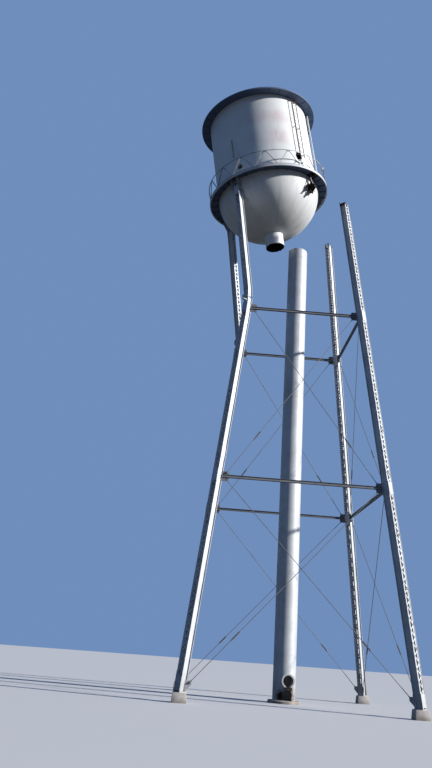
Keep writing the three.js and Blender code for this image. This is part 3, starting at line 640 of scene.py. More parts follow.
def streak_group():
    """Runs of dirt down a round wall: the wall's axis is Z of the vector."""
    tree, start, end = group_with("Dirt Runs", {"Across": 6.0, "Down": 0.35, "Cover": 0.4}, ("Mask",))
    parts = parts_of(tree, start["Vector"])
    round_wall = times(tree, calc(tree, "ARCTAN2", parts[1], parts[0]), start["Across"])
    down_wall = times(tree, parts[2], start["Down"])
    flat = add(tree, "ShaderNodeCombineXYZ", {0: round_wall, 1: down_wall}).outputs[0]
    runs = clouds(tree, flat, 3.0, 6.0, 0.62)
    patchy = clouds(tree, start["Vector"], 0.7, 3.0)
    both = plus(tree, times(tree, runs, 0.75), times(tree, patchy, 0.25))
    edge = calc(tree, "SUBTRACT", 0.72, times(tree, start["Cover"], 0.35))
    plain_inputs(end, {"Mask": ranged(tree, calc(tree, "SUBTRACT", both, edge), -0.10, 0.16)})
    return tree


def chalk_group():
    """Old paint: broad clouds of chalked and dulled colour with a fine grain."""
    dull = {"Colour": (0.7, 0.7, 0.7, 1), "Dull Colour": (0.5, 0.5, 0.5, 1), "Dullness": 0.5}
    tree, start, end = group_with("Chalked Paint", {"Scale": 0.5, **dull}, ("Colour", "Roughness", "Height"))
    broad = clouds(tree, start["Vector"], start["Scale"], 6.0, 0.6)
    grain = clouds(tree, start["Vector"], times(tree, start["Scale"], 60.0), 3.0, 0.6)
    share = times(tree, ranged(tree, broad, 0.35, 0.75), start["Dullness"])
    colour = mixed(tree, share, start["Colour"], start["Dull Colour"])
    rough = plus(tree, 0.46, times(tree, grain, 0.28))
    height = plus(tree, grain, times(tree, broad, 3.0))
    plain_inputs(end, {"Colour": colour, "Roughness": rough, "Height": height})
    return tree


def new_surface(name):
    """A material with a Principled shader, and its coordinates."""
    material = bpy.data.materials.new(name)
    material.use_nodes = True
    tree = material.node_tree
    shader = tree.nodes["Principled BSDF"]
    place = add(tree, "ShaderNodeTexCoord").outputs["Object"]
    return material, tree, shader, place


def bumped(tree, shader, height, strength, distance):
    bump = add(tree, "ShaderNodeBump", {"Strength": strength, "Distance": distance, "Height": height})
    plain_inputs(shader, {"Normal": bump.outputs[0]})


def attribute(tree, name):
    return add(tree, "ShaderNodeAttribute", attribute_name=name).outputs["Fac"]


def in_tank_frame(tree, place):
    """Object coordinates turned into the leaning tank's own frame."""
    inputs = {"Vector": place, "Location": TANK_CENTRE, "Rotation": TANK.to_euler()}
    return add(tree, "ShaderNodeMapping", inputs, vector_type="TEXTURE").outputs[0]


def weathered(tree, shader, place, colour, chalk, rust, burn, soot, metallic, bump):
    """Lays rust, stains, painted shade under the eave and the walkway, and soot over a colour. The soot has a
    grain's scale, its share and an edge.
    """
    scale, share, edge = soot
    colour = mixed(tree, rust["Mask"], colour, rust["Colour"])
    # Painted shade: a dark blue colour on whatever is marked as lying under the eave or the walkway
    colour = mixed(tree, attribute(tree, "under"), colour, tint("painted_under_shade"))
    black = ranged(tree, plus(tree, burn, times(tree, clouds(tree, place, scale), share)), edge, 1.1)
    colour = mixed(tree, black, colour, tint("soot"))
    rough = plus(tree, chalk["Roughness"], times(tree, rust["Mask"], 0.3), clamp=True)
    plain_inputs(shader, {"Base Color": colour, "Roughness": rough, "Metallic": metallic})
    bumped(tree, shader, plus(tree, chalk["Height"], times(tree, rust["Height"], 4.0)), bump, 0.004)


def steel_paint(name, colour, dull, rust_cover, in_tank=False):
    """Weathered aluminium paint on steel, with rust, soot by the cuts and dirt near the ground."""
    material, tree, shader, place = new_surface(name)
    vector = in_tank_frame(tree, place) if in_tank else place
    paint = {"Scale": 0.9, "Colour": tint(colour), "Dull_Colour": tint(dull), "Dullness": 0.75}
    chalk = placed_group(tree, chalk_group, Vector=vector, **paint)
    burn = attribute(tree, "burn")
    looks = {"Scale": 1.7, "Cover": rust_cover, "Extra": burn, "Colour": tint("rust")}
    rust = placed_group(tree, rust_group, Vector=vector, **looks)
    low = ranged(tree, parts_of(tree, place)[2], 1.8, 0.4)
    splash = times(tree, low, clouds(tree, place, 3.0, 5.0))
    dirty = mixed(tree, times(tree, splash, 0.7), chalk["Colour"], tint("dirt"))
    weathered(tree, shader, place, dirty, chalk, rust, burn, (9.0, 0.5, 0.55), 0.25, 0.35)
    return material


def tank_paint(name, runs_cover, wash=False, bowl=False):
    """Pale weathered tank paint in the tank's frame, with dirt runs and rust at the seams."""
    material, tree, shader, place = new_surface(name)
    vector = in_tank_frame(tree, place)
    parts = parts_of(tree, vector)
    paint = {"Scale": 0.45, "Colour": tint("tank"), "Dull_Colour": tint("tank_dull"), "Dullness": 0.6}
    chalk = placed_group(tree, chalk_group, Vector=vector, **paint)
    runs = placed_group(tree, streak_group, Vector=vector, Across=3.2, Down=0.3, Cover=runs_cover)
    burn = attribute(tree, "burn")
    extra = calc(tree, "MAXIMUM", burn, times(tree, attribute(tree, "seam"), 0.25))
    looks = {"Scale": 1.9, "Cover": 0.02, "Extra": extra, "Colour": tint("rust")}
    rust = placed_group(tree, rust_group, Vector=vector, **looks)
    share = times(tree, runs["Mask"], 0.20)
    if bowl:
        # On the bowl: painted shade just under the walkway, and darker towards the bottom
        shade_under_deck = times(tree, ranged(tree, parts[2], -1.5, -0.1), 0.25)
        bottom = times(tree, ranged(tree, parts[2], -1.6, -2.9), 0.35)
        more = times(tree, plus(tree, shade_under_deck, bottom), clouds(tree, vector, 1.6, 5.0))
        share = plus(tree, share, more, clamp=True)
    colour = mixed(tree, share, chalk["Colour"], tint("grime_and_shade"))
    if wash:
        colour = faded_wash(tree, colour, vector, parts)
    weathered(tree, shader, place, colour, chalk, rust, burn, (8.0, 0.4, 0.6), 0.05, 0.3)
    return material


def faded_wash(tree, colour, vector, parts):
    """Two worn bands of faded red paint across the front of the shell, with no shape in them."""
    angle = calc(tree, "ARCTAN2", parts[1], parts[0])
    from_left = ranged(tree, angle, math.radians(-118), math.radians(-104))
    from_right = ranged(tree, angle, math.radians(-48), math.radians(-60))
    bands = 0.0
    for middle in (2.55, 4.15):
        away = calc(tree, "ABSOLUTE", calc(tree, "SUBTRACT", parts[2], middle))
        bands = calc(tree, "MAXIMUM", bands, ranged(tree, away, 0.75, 0.15))
    tall = add(tree, "ShaderNodeMapping", {"Vector": vector, "Scale": (1, 1, 0.5)}).outputs[0]
    worn = ranged(tree, clouds(tree, tall, 0.9, 3.0, 0.5), 0.30, 0.75)
    share = times(tree, times(tree, times(tree, from_left, from_right), bands), worn)
    return mixed(tree, times(tree, share, 0.30), colour, tint("wash"))


def torn_steel(name):
    """Torn, burnt steel: soot black with brown rust and bare grey where it was pulled apart."""
    material, tree, shader, place = new_surface(name)
    rust = placed_group(tree, rust_group, Vector=place, Scale=3.1, Cover=0.55, Extra=0.0, Colour=tint("rust"))
    grain = clouds(tree, place, 22.0, 5.0, 0.7)
    bare = times(tree, ranged(tree, clouds(tree, place, 5.0, 5.0, 0.7), 0.62, 0.72), 0.12)
    bare = calc(tree, "MAXIMUM", bare, attribute(tree, "bare"))
    colour = mixed(tree, grain, tint("soot"), tint("torn"))
    colour = mixed(tree, times(tree, rust["Mask"], 0.22), colour, rust["Colour"])
    colour = mixed(tree, bare, colour, (0.34, 0.34, 0.35, 1))
    plain_inputs(shader, {"Base Color": colour, "Roughness": 0.95, "Metallic": 0.0, "Specular IOR Level": 0.1})
    bumped(tree, shader, grain, 0.6, 0.006)
    return material


def rough_concrete(name):
    """Cast concrete: pale, pitted and stained from below."""
    material, tree, shader, place = new_surface(name)
    broad = clouds(tree, place, 2.2, 6.0, 0.62)
    fine = clouds(tree, place, 38.0, 5.0, 0.7)
    pits = add(tree, "ShaderNodeTexVoronoi", {"Vector": place, "Scale": 46.0}).outputs["Distance"]
    colour = mixed(tree, ranged(tree, broad, 0.35, 0.7), tint("concrete"), (0.30, 0.27, 0.24, 1))
    colour = mixed(tree, times(tree, fine, 0.35), colour, (0.72, 0.69, 0.65, 1))
    damp = times(tree, ranged(tree, parts_of(tree, place)[2], 0.28, 0.0), broad)
    colour = mixed(tree, damp, colour, tint("dirt"))
    plain_inputs(shader, {"Base Color": colour, "Roughness": ranged(tree, fine, 0.3, 0.7, 0.82, 0.96)})
    bumped(tree, shader, plus(tree, fine, times(tree, ranged(tree, pits, 0.25, 0.0), -1.2)), 0.7, 0.006)
    return material


def plain_ground(name):
    """The pale studio floor."""
    material, tree, shader, place = new_surface(name)
    shade = times(tree, clouds(tree, place, 0.35, 3.0), 0.06)
    colour = mixed(tree, shade, tint("floor"), (0.45, 0.45, 0.46, 1))
    # It throws less light back at the tower than it shows, as turf and asphalt would
    seen = add(tree, "ShaderNodeLightPath").outputs["Is Camera Ray"]
    plain_inputs(shader, {"Base Color": mixed(tree, seen, (0.065, 0.065, 0.06, 1), colour), "Roughness": 0.9})
    return material


# Steel: paint, worn paint, rust cover, and whether it leans with the tank. Tank: dirt runs, wash, bowl.
PAINTS = {
    "silver_paint": (steel_paint, "silver", "silver_dull", 0.20),
    "deck_paint": (steel_paint, "silver", "silver_dull", 0.24, True),
    "rod_paint": (steel_paint, "rod", "rod_dull", 0.45),
    # A darker copy of the silver paint: painted shade on the struts, the rods and the leg's brackets
    "brace_paint": (steel_paint, "brace", "brace_dull", 0.3),
    "ladder_paint": (steel_paint, "ladder", "rust", 0.5, True),
    "rail_paint": (steel_paint, "rod", "rod_dull", 0.5, True),
    "shell_paint": (tank_paint, 0.30, True),
    "bowl_paint": (tank_paint, 0.46, False, True),
    "roof_paint": (tank_paint, 0.30),
    "torn_steel": (torn_steel,),
    "rough_concrete": (rough_concrete,),
    "studio_floor": (plain_ground,),
}
SURFACES = {}


def surface(name):
    """The material of that name, made the first time it is asked for."""
    if name not in SURFACES:
        maker, *settings = PAINTS[name]
        SURFACES[name] = maker(name, *settings)
    return SURFACES[name]


def marked(piece, name, measure):
    """Stores a number from 0 to 1 at each vertex, for a material to read."""
    values = [max(0.0, min(1.0, measure(vertex.co))) for vertex in piece.data.vertices]
    layer = piece.data.attributes.get(name) or piece.data.attributes.new(name, "FLOAT", "POINT")
    layer.data.foreach_set("value", values)
    return piece


def burnt_near(piece, places):
    """Marks a piece as burnt round each (point, radius)."""
    return marked(piece, "burn", lambda co: max(1.0 - (co - point).length / radius for point, radius in places))


# What a user would change


def length_property(name, description, value):
    return FloatProperty(name=name, description=description, default=value, min=value / 3, unit="LENGTH")


class TowerSizes(PropertyGroup):
    lacing_pitch: length_property("Lacing pitch", "Height of one lacing bar on a leg", 0.286)
    lacing_width: length_property("Lacing width", "Width of a lacing bar", 0.064)
    rivet_radius: length_property("Rivet radius", "Radius of a rivet's head", 0.018)
    rail_post_width: length_property("Railing bar width", "Width of the railing's slanting bars", 0.045)
    shell_rivet_count: IntProperty(name="Rivets round the shell", description="In one row", default=180, min=24)
    weld_width: length_property("Weld width", "Width of a weld bead on the riser", 0.030)


WORN = "The same paint where it has weathered"


def colour_property(name, description, value):
    settings = {"default": value, "min": 0, "max": 1, "size": 3, "subtype": "COLOR"}
    return FloatVectorProperty(name=name, description=description, **settings)


class TowerColours(PropertyGroup):
    silver: colour_property("Silver paint", "Aluminium paint of the legs and the riser", (0.59, 0.61, 0.64))
    silver_dull: colour_property("Dulled silver paint", WORN, (0.42, 0.43, 0.44))
    tank: colour_property("Tank paint", "Pale paint of the tank", (0.78, 0.79, 0.79))
    tank_dull: colour_property("Dulled tank paint", WORN, (0.62, 0.63, 0.63))
    # Dirt runs on the tank, and painted shade under the walkway on the bowl
    grime_and_shade: colour_property("Grime", "Dirt that has run down the tank", (0.20, 0.20, 0.17))
    wash: colour_property("Faded red", "What is left of red paint on the shell", (0.46, 0.10, 0.15))
    # Painted shade: the dark blue that stands in for the shade under the eave and the walkway
    painted_under_shade: colour_property("Underside", "Stained paint under eave and walkway", (0.085, 0.125, 0.215))
    rust: colour_property("Rust", "Rust that breaks through the paint", (0.24, 0.085, 0.035))
    dirt: colour_property("Dirt", "Soil splashed up from the ground", (0.16, 0.12, 0.085))
    soot: colour_property("Soot", "Burnt steel beside the cuts", (0.007, 0.0065, 0.006))
    torn: colour_property("Torn steel", "Steel that was pulled apart", (0.022, 0.018, 0.016))
    rod: colour_property("Rod paint", "Paint of the brace rods", (0.42, 0.43, 0.44))
    rod_dull: colour_property("Dulled rod paint", WORN, (0.26, 0.25, 0.24))
    # Painted shade: the silver paint darkened for the struts, the rods and the brackets
    brace: colour_property("Brace paint", "Dark worn paint of the struts and the rods", (0.22, 0.225, 0.235))
    brace_dull: colour_property("Dulled brace paint", WORN, (0.14, 0.14, 0.14))
    ladder: colour_property("Ladder paint", "Dark worn paint of the ladder", (0.13, 0.10, 0.09))
    concrete: colour_property("Concrete", "Concrete of the footings", (0.52, 0.47, 0.44))
    floor: colour_property("Floor", "The studio's floor", (0.62, 0.62, 0.63))


# Footings


def pier(corner):
    """A cast pier: tapered, its arrises broken, with a grout bed under the base plate."""
    half = PIER_FOOT_WIDTH / 2 - 0.001
    share = PIER_TOP_WIDTH / PIER_FOOT_WIDTH
    cast = tapered(block((-half, -half, 0), (half, half, PIER_HEIGHT - 0.012)), share, share)
    beveled(cast, 0.022, lambda middle, normal: middle.z > 0.05, segments=2)
    half = BASE_PLATE_WIDTH / 2 + 0.004
    grout = tapered(block((-half, -half, PIER_HEIGHT - 0.03), (half, half, PIER_HEIGHT)), 0.94, 0.94)
    whole = joined([cast, placed(grout, turned_about("Z", math.radians(45)))])
    return placed(whole, moved(corner[0] * FOOT_HALF_SPREAD, corner[1] * FOOT_HALF_SPREAD, 0))


class BuildFootings(Operator):
    """Builds the four piers and the pad under the riser."""

    bl_idname = "water_tower.footings"
    bl_label = "Footings"

    def execute(self, context):
        for name, corner in CORNERS.items():
            finished(pier(corner), name + "_pier", "concrete", "rough_concrete", "pier_" + name)
        radius = RISER_PAD_RADIUS
        rim = RISER_PAD_HEIGHT
        outline = [(0, 0), (radius, 0), (radius, rim - 0.03), (radius - 0.03, rim), (0, rim)]
        pad = lathed(outline, 48, closed=False)
        finished(pad, "riser_pad", "concrete", "rough_concrete", "riser_foundation")
        return {"FINISHED"}


# Legs


def column_channel(length):
    """One channel of a column: its web set back on the +Y side, its flanges turned outwards."""
    back = HALF_BREADTH - FLANGE_WIDTH
    inside = HALF_DEPTH - FLANGE
    piece = block((-HALF_DEPTH, back, -COLUMN_SPARE), (HALF_DEPTH, back + WEB, length + COLUMN_SPARE))
    for edge in (-inside, inside):
        cut(piece, (edge, 0, 0), (1, 0, 0), remove=False)
    step = (0, FLANGE_WIDTH - WEB, 0)
    return pulled(piece, lambda middle, normal: normal.y > 0.9 and abs(middle.x) > inside, step)


def lacing_unit():
    """Two lacing bars on each laced side, one rising each way, with a rivet at each end."""
    sizes = bpy.context.scene.tower_sizes
    pitch = sizes.lacing_pitch
    ease = 0.036
    half = sizes.lacing_width / 2
    start = Vector((0, -RIVET_LINE, ease))
    end = Vector((0, RIVET_LINE, pitch - ease))
    length = (end - start).length
    tip = half * 0.55
    outline = [(-tip, -half), (length + tip, -half), (length + half, -tip), (length + half, tip)]
    bar = drawn([*outline, (length + tip, half), (-tip, half), (-half, tip), (-half, -tip)], 0.012)
    # The bar's X runs along it, and its Z becomes the way out of the column
    way = (end - start).normalized()
    out = Vector((1, 0, 0))
    placed(bar, frame_of(way, out.cross(way), out, start + Vector((FLANGE_FACE + 0.006, 0, 0))))
    heads = rivets([moved(FLANGE_FACE + 0.012, place.y, place.z) @ TO_X for place in (start, end)])
    pair = mirrored(joined([bar, heads]), moved(0, 0, 2 * pitch) @ Matrix.Diagonal((1, 1, -1, 1)))
    return mirrored(pair, Matrix.Diagonal((-1, 1, 1, 1)))


def stay_plates(low, high):
    """A stay plate on both laced sides, from one height to another, with its rivets."""
    near = FLANGE_FACE + 0.0125
    plate = block((near, -HALF_BREADTH, low), (near + 0.012, HALF_BREADTH, high), 0.002)
    rows = spread(low + 0.05, high - 0.05, max(3, round((high - low) / 0.11)))
    face = moved(near + 0.012, 0, 0) @ TO_X
    return doubled([plate, rivets(grid_of(face, [-row for row in rows], (-RIVET_LINE, RIVET_LINE)))])


def splice_plates(middle):
    """Splice plates on both webs, with four rows of rivets each."""
    half = 0.34
    web = HALF_BREADTH - FLANGE_WIDTH + WEB
    face = web + 0.012
    plate = block((-0.15, web, middle - half), (0.15, face, middle + half), 0.002)
    rows = spread(0.05 - half, half - 0.05, 7)
    places = grid_of(moved(0, face, middle) @ out_along_y(1), (-0.11, -0.04, 0.04, 0.11), rows)
    return doubled([plate, rivets(places)])


def column(foot, head, corner, stays, splices):
    """A laced column along a line, longer at both ends than its length, so that it can be trimmed."""
    length = (head - foot).length
    channel = column_channel(length)
    unit = 2 * bpy.context.scene.tower_sizes.lacing_pitch
    row = {"count": int((length + COLUMN_SPARE) / unit) + 1, "constant_offset_displace": (0, 0, unit)}
    lacing = applied(lacing_unit(), "ARRAY", use_relative_offset=False, use_constant_offset=True, **row)
    pieces = [channel, copied(channel, HALF_TURN), lacing]
    pieces += [stay_plates(low, high) for low, high in stays]
    pieces += [splice_plates(middle) for middle in splices]
    return placed(joined(pieces), column_frame(foot, head, corner))


def standing_column(corner, head, splice_levels):
    """A leg's lower length, with stay plates at its foot and at both struts."""
    foot = leg_point(corner, PIER_HEIGHT)
    stays = [(0.05, 0.65)]
    stays += [(up_leg(level) - 0.34, up_leg(level) + 0.34) for level in (LOWER_STRUT_LEVEL, UPPER_STRUT_LEVEL)]
    piece = column(foot, head, corner, stays, [up_leg(level) + 1.35 for level in splice_levels])
    return cut(piece, foot + Vector((0, 0, BASE_PLATE / 2)), (0, 0, -1))


def foot_gusset(face_index, side):
    """The plate at a leg's foot that takes the brace rods of one face, with its fillets."""
    reach = FOOT_PIN_INSET + GUSSET_CORNER
    outline = [
        (0.20, BASE_PLATE / 2),
        (BASE_PLATE_WIDTH / 2, BASE_PLATE / 2),
        (reach, FOOT_PIN_RISE - GUSSET_CORNER),
        (reach, FOOT_PIN_RISE + GUSSET_CORNER / 2),
        (reach - GUSSET_CORNER / 2, FOOT_PIN_RISE + GUSSET_CORNER),
        (0.20, FOOT_PIN_RISE + GUSSET_CORNER),
    ]
    points = [(side * (FOOT_HALF_SPREAD - inset), height) for inset, height in outline]
    return placed(drawn(points, GUSSET), face_frame(face_index) @ UPRIGHT)


def leg_base(corner, corner_index):
    """A leg's base plate with its anchor bolts, and its two foot gussets."""
    half = BASE_PLATE_WIDTH / 2
    inset = half - 0.032
    nuts = grid_of(moved(0, 0, BASE_PLATE), (-inset, inset), (-inset, inset))
    plate = block((-half, -half, 0.0), (half, half, BASE_PLATE), 0.004)
    whole = joined([plate, repeated(bolt_head(0.024, 0.022, 0.03), nuts)])
    placed(whole, Matrix.Translation(leg_point(corner, PIER_HEIGHT)) @ turned_about("Z", math.radians(45)))
    return [whole, foot_gusset(corner_index, 1), foot_gusset((corner_index + 1) % 4, -1)]


def random_waves(chooser, draw_rate, count, low_size, high_size):
    """Waves of random rate, shift and size, to make a torn edge from."""
    return [(draw_rate(), chooser.uniform(0, 6.28), chooser.uniform(low_size, high_size)) for _ in range(count)]


def wave_at(waves, place, curve=math.sin, slow=1.0):
    return sum(size * curve(rate * slow * place + shift) for rate, shift, size in waves)


def tear_end(piece, end, way, chooser):
    """Bends and notches the last stretch of a piece towards a torn end."""
    reach = 0.5
    waves = random_waves(chooser, lambda: chooser.uniform(9, 24), 5, 0.4, 1.0)
    side = way.cross(Vector((0, 0, 1))).normalized()
    other = way.cross(side)

    def change(co):
        back = (co - end).dot(way)
        share = max(0.0, 1 + back / reach)
        if not share:
            return co
        share = min(share, 1.0) ** 2
        around = (co - end).dot(side) * 3.1 + (co - end).dot(other) * 4.3
        wave = wave_at(waves, around) / 3
        bend = wave_at(waves, around, math.cos, 0.6) / 3
        return co - way * (0.10 * share * (1 + wave)) + (side * wave + other * bend) * 0.035 * share

    return shaped(piece, change)


def cut_leg(name, corner, corner_index):
    """A right-hand leg: straight up to where it was cut through, burnt and ragged at its head."""
    head = leg_point(corner, CUT_LEVEL)
    way = (head - leg_point(corner, PIER_HEIGHT)).normalized()
    piece = standing_column(corner, head, (LOWER_STRUT_LEVEL, UPPER_STRUT_LEVEL))
    for reach in (0.15, 0.30, 0.45, 0.60, 0.75):
        cut(piece, head - way * reach, way, remove=False)
    cut(piece, head, (0.35, 0, 1), fill=False)
    tear_end(piece, head, way, random.Random(7 + corner_index))
    burnt_near(piece, [(head, 0.75)])
    whole = joined([piece, *leg_base(corner, corner_index)])
    finished(whole, name + "_leg", "silver_paint", "silver_paint", "leg_" + name)


def crumple(piece, middle, way):
    """Bulges a column's plates near a buckle, and pushes them to the left."""
    reach = 0.65

    def change(co):
        back = abs((co - middle).dot(way)) / reach
        if back >= 1:
            return co
        share = (1 - back * back) ** 2
        spot = co - middle
        spot -= way * spot.dot(way)
        # The side that was squeezed bulges, and the side that was pulled hardly does
        bulge = 0.30 if spot.x < 0 else 0.05
        return co + spot * (bulge * share * math.sin(back * 9.0)) + Vector((-0.05 * share, 0, 0))

    return shaped(piece, change)


def folded(piece, buckle, way, end_normal):
    """Cuts a length of a leg off aslant at the buckle, and crumples and burns its plates there."""
    for reach in (0.08, 0.16, 0.24, 0.32, 0.42, 0.55, 0.7):
        cut(piece, buckle + way * reach, way, remove=False)
    cut(piece, buckle + Vector((-0.2, 0, 0)), end_normal, fill=False)
    crumple(piece, buckle, way)
    return burnt_near(piece, [(buckle, 0.35)])


def buckled_leg(name, corner, corner_index):
    """A left-hand leg in two lengths, folded over each other at the buckle."""
    buckle = leg_point(corner, BUCKLE_LEVEL)
    top = leg_top(corner)
    low_way = (buckle - leg_point(corner, PIER_HEIGHT)).normalized()
    high_way = (top - buckle).normalized()
    meeting = (low_way + high_way).normalized()
    opening = turned_about("Y", math.radians(7)).to_3x3()
    lower = folded(standing_column(corner, buckle, [LOWER_STRUT_LEVEL]), buckle, -low_way, opening @ meeting)
    whole = joined([lower, *leg_base(corner, corner_index)])
    finished(whole, name + "_leg_lower", "silver_paint", "silver_paint", "leg_" + name + "_lower")
    length = (top - buckle).length
    upper = column(buckle, top, corner, [(length - 1.0, length - 0.35)], [length * 0.5])
    cut(upper, tank_point(corner_azimuth(corner), LEG_TOP_RADIUS, -0.056), TANK.to_3x3() @ Vector((0, 0, 1)))
    folded(upper, buckle, high_way, -(opening.inverted() @ meeting))
    finished(upper, name + "_leg_upper", "silver_paint", "silver_paint", "leg_" + name + "_upper")


def leg_conduit():
    """The thin pipe that climbs the front right leg on brackets."""
    corner = CORNERS["front_right"]
    away = Vector((1, 1, 0)).normalized()
    out = Vector((1, -1, 0)).normalized()
    line = out * (HALF_DEPTH - 0.02) + away * (HALF_BREADTH + 0.065)
    pipe = round_bar(leg_point(corner, 0.55) + line, leg_point(corner, 28.6) + line, 0.032, 12)
    brackets = []
    for level in (3.1, 5.8, 8.5, 11.7, 14.2, 16.8, 19.3, 22.1, 24.8, 27.4):
        centre = leg_point(corner, level)
        start = centre + out * (HALF_DEPTH + 0.022) - away * 0.10
        end = centre + out * (HALF_DEPTH + 0.022) + away * (HALF_BREADTH + 0.12)
        brackets.append(flat_bar(start, end, 0.07, 0.016, out))
        brackets.append(flat_bar(centre + line + away * 0.03 - out * 0.03, end - out * 0.01, 0.05, 0.012))
    finished(pipe, "front_right_leg_conduit", "silver_paint", "rod_paint")
    # The brackets take the darker copy of the silver paint: painted shade
    finished(joined(brackets), "front_right_leg_brackets", "silver_paint", "brace_paint")


class BuildLegs(Operator):
    """Builds the two cut legs and the two buckled legs."""

    bl_idname = "water_tower.legs"
    bl_label = "Legs"

    def execute(self, context):
        for index, (name, corner) in enumerate(CORNERS.items()):
            if corner[0] > 0:
                cut_leg(name, corner, index)
            else:
                buckled_leg(name, corner, index)
        leg_conduit()
        return {"FINISHED"}


# Struts and brace rods


def on_each_face(model, name, slot):
    """Carries a model round the four faces of the tower. The model itself goes."""
    for index, face in enumerate(FACES):
        # Struts and rods take the darker copy of the silver paint, which is painted shade
        finished(copied(model, face_frame(index)), face + "_" + name, slot, "brace_paint", name + "_" + face)
    bpy.data.objects.remove(model)


def strut_channel(half_length, height):
    """One channel of a strut, web inwards and toes outwards, on the -Y side."""
    web = STRUT_SPACING / 2
    half = STRUT_DEPTH / 2
    inside = half - STRUT_WEB
    piece = block((-half_length, -web - STRUT_WEB, height - half), (half_length, -web, height + half))
    for edge in (-inside, inside):
        cut(piece, (0, 0, height + edge), (0, 0, 1), remove=False)
    step = (0, STRUT_WEB - STRUT_CHANNEL_WIDTH, 0)
    return pulled(piece, lambda middle, normal: normal.y < -0.9 and abs(middle.z - height) > inside, step)


def strut_gusset(side, half_length, height):
    """The plate at one end of a strut, with rivets through strut and leg."""
    corner = GUSSET_CORNER
    reach = GUSSET_REACH
    half = GUSSET_HALF_HEIGHT
    outline = [(0, -half), (reach - corner, -half), (reach, corner - half)]
    outline += [(reach, half - corner), (reach - corner, half), (0, half)]
    points = [(side * (half_length - inset), height + up) for inset, up in outline]
    plate = placed(drawn(points, GUSSET), UPRIGHT)
    rows = [row for row in spread(0.05 - half, half - 0.05, 6) if abs(row) > STRUT_DEPTH / 2 + 0.02]
    heads = []
    for facing in (-1, 1):
        out = moved(0, facing * GUSSET / 2, 0) @ out_along_y(facing)
        heads += grid_of(out, [side * (half_length - 0.32)], [-facing * (height + row) for row in rows])
    return joined([plate, rivets(heads)])


def strut(level):
    """A strut in the frame of the front face, its ends fitted round the legs."""
    half_length = half_spread_at(level)
    height = height_on_face(level)
    near = strut_channel(half_length - 0.16, height)
    pieces = [near, copied(near, HALF_TURN), *(strut_gusset(side, half_length, height) for side in (-1, 1))]
    stitches = spread(0.9 - half_length, half_length - 0.9, 10)
    stitches += [side * (half_length - inset) for side in (-1, 1) for inset in (0.34, 0.42, 0.50)]
    for facing in (-1, 1):
        out = moved(0, facing * (STRUT_SPACING / 2 + STRUT_WEB), height) @ out_along_y(facing)
        heads = grid_of(out, stitches, (-0.035, 0.035))
        pieces.append(rivets(heads, bpy.context.scene.tower_sizes.rivet_radius * 0.8, 0.009))
    whole = joined(pieces)
    room = (HALF_DEPTH + 0.001, HALF_BREADTH + 0.001)
    for corner in (CORNERS["front_right"], CORNERS["front_left"]):
        trim = block((-room[0], -room[1], -1), (*room, 24))
        line = column_frame(leg_point(corner, PIER_HEIGHT), leg_point(corner, BUCKLE_LEVEL), corner)
        holed(whole, placed(trim, face_frame(0).inverted() @ line))
    return whole


class BuildStruts(Operator):
    """Builds the struts of both levels and carries them round the four faces."""

    bl_idname = "water_tower.struts"
    bl_label = "Struts"

    def execute(self, context):
        on_each_face(strut(LOWER_STRUT_LEVEL), "strut_lower", "silver_paint")
        on_each_face(strut(UPPER_STRUT_LEVEL), "strut_upper", "silver_paint")
        return {"FINISHED"}


def rod_eye(frame_matrix, inward):
    """A forged eye with its pin, washers and nuts, at the end of a rod."""
    outline = [(0.024, -0.019), (0.056, -0.019), (0.062, -0.012)]
    outline += [(0.062, 0.012), (0.056, 0.019), (0.024, 0.019)]
    eye = placed(lathed(outline, 20), frame_matrix @ UPRIGHT)
    neck = tapered(block((-0.024, -ROD_RADIUS, 0.03), (0.024, ROD_RADIUS, 0.16), 0.006), 0.6, 0.9)
    placed(neck, frame_matrix if inward else frame_matrix @ turned_about("Y", math.pi))
    pieces = [eye, neck]
    for side in (-1, 1):
        head = bolt_head(0.034, 0.022, 0.012)
        pieces.append(placed(head, frame_matrix @ moved(0, side * 0.018, 0) @ out_along_y(side)))
    return joined(pieces)


def turnbuckle(place):
    """An open turnbuckle: a slotted body with a boss at each end and the rod's threads inside."""
    body = block((-0.040, -0.026, -0.26), (0.040, 0.026, 0.26), 0.006)
    with editing(body, "FACE"):
        pick(body, "faces", lambda middle, normal: abs(normal.y) > 0.9 and abs(middle.x) < 0.02)
        bpy.ops.mesh.inset(thickness=0.020, use_individual=True)
        bpy.ops.mesh.bridge_edge_loops()
    bosses = [beveled(cylinder(0.036, 0.07, 12, end * 0.275), 0.005) for end in (-1, 1)]
    return placed(joined([body, *bosses]), place)


def brace_rod(low_pin, high_pin, offset):
    """A round brace rod with an eye at each end and a turnbuckle, in the frame of the front face."""
    start = Vector((low_pin[0], offset, low_pin[1]))
    end = Vector((high_pin[0], offset, high_pin[1]))
    length = (end - start).length
    way = (end - start).normalized()
    across = Vector((0, 1, 0))
    line = frame_of(across.cross(way), across, way, start)
    bar = placed(round_bar((0, 0, 0.10), (0, 0, length - 0.10), ROD_RADIUS), line)
    eyes = [rod_eye(line, True), rod_eye(line @ moved(0, 0, length), False)]
    return joined([bar, *eyes, turnbuckle(line @ moved(0, 0, length * 0.22))])


def pin_at(level, rise):
    return (half_spread_at(level) - PIN_INSET, height_on_face(level) + rise)


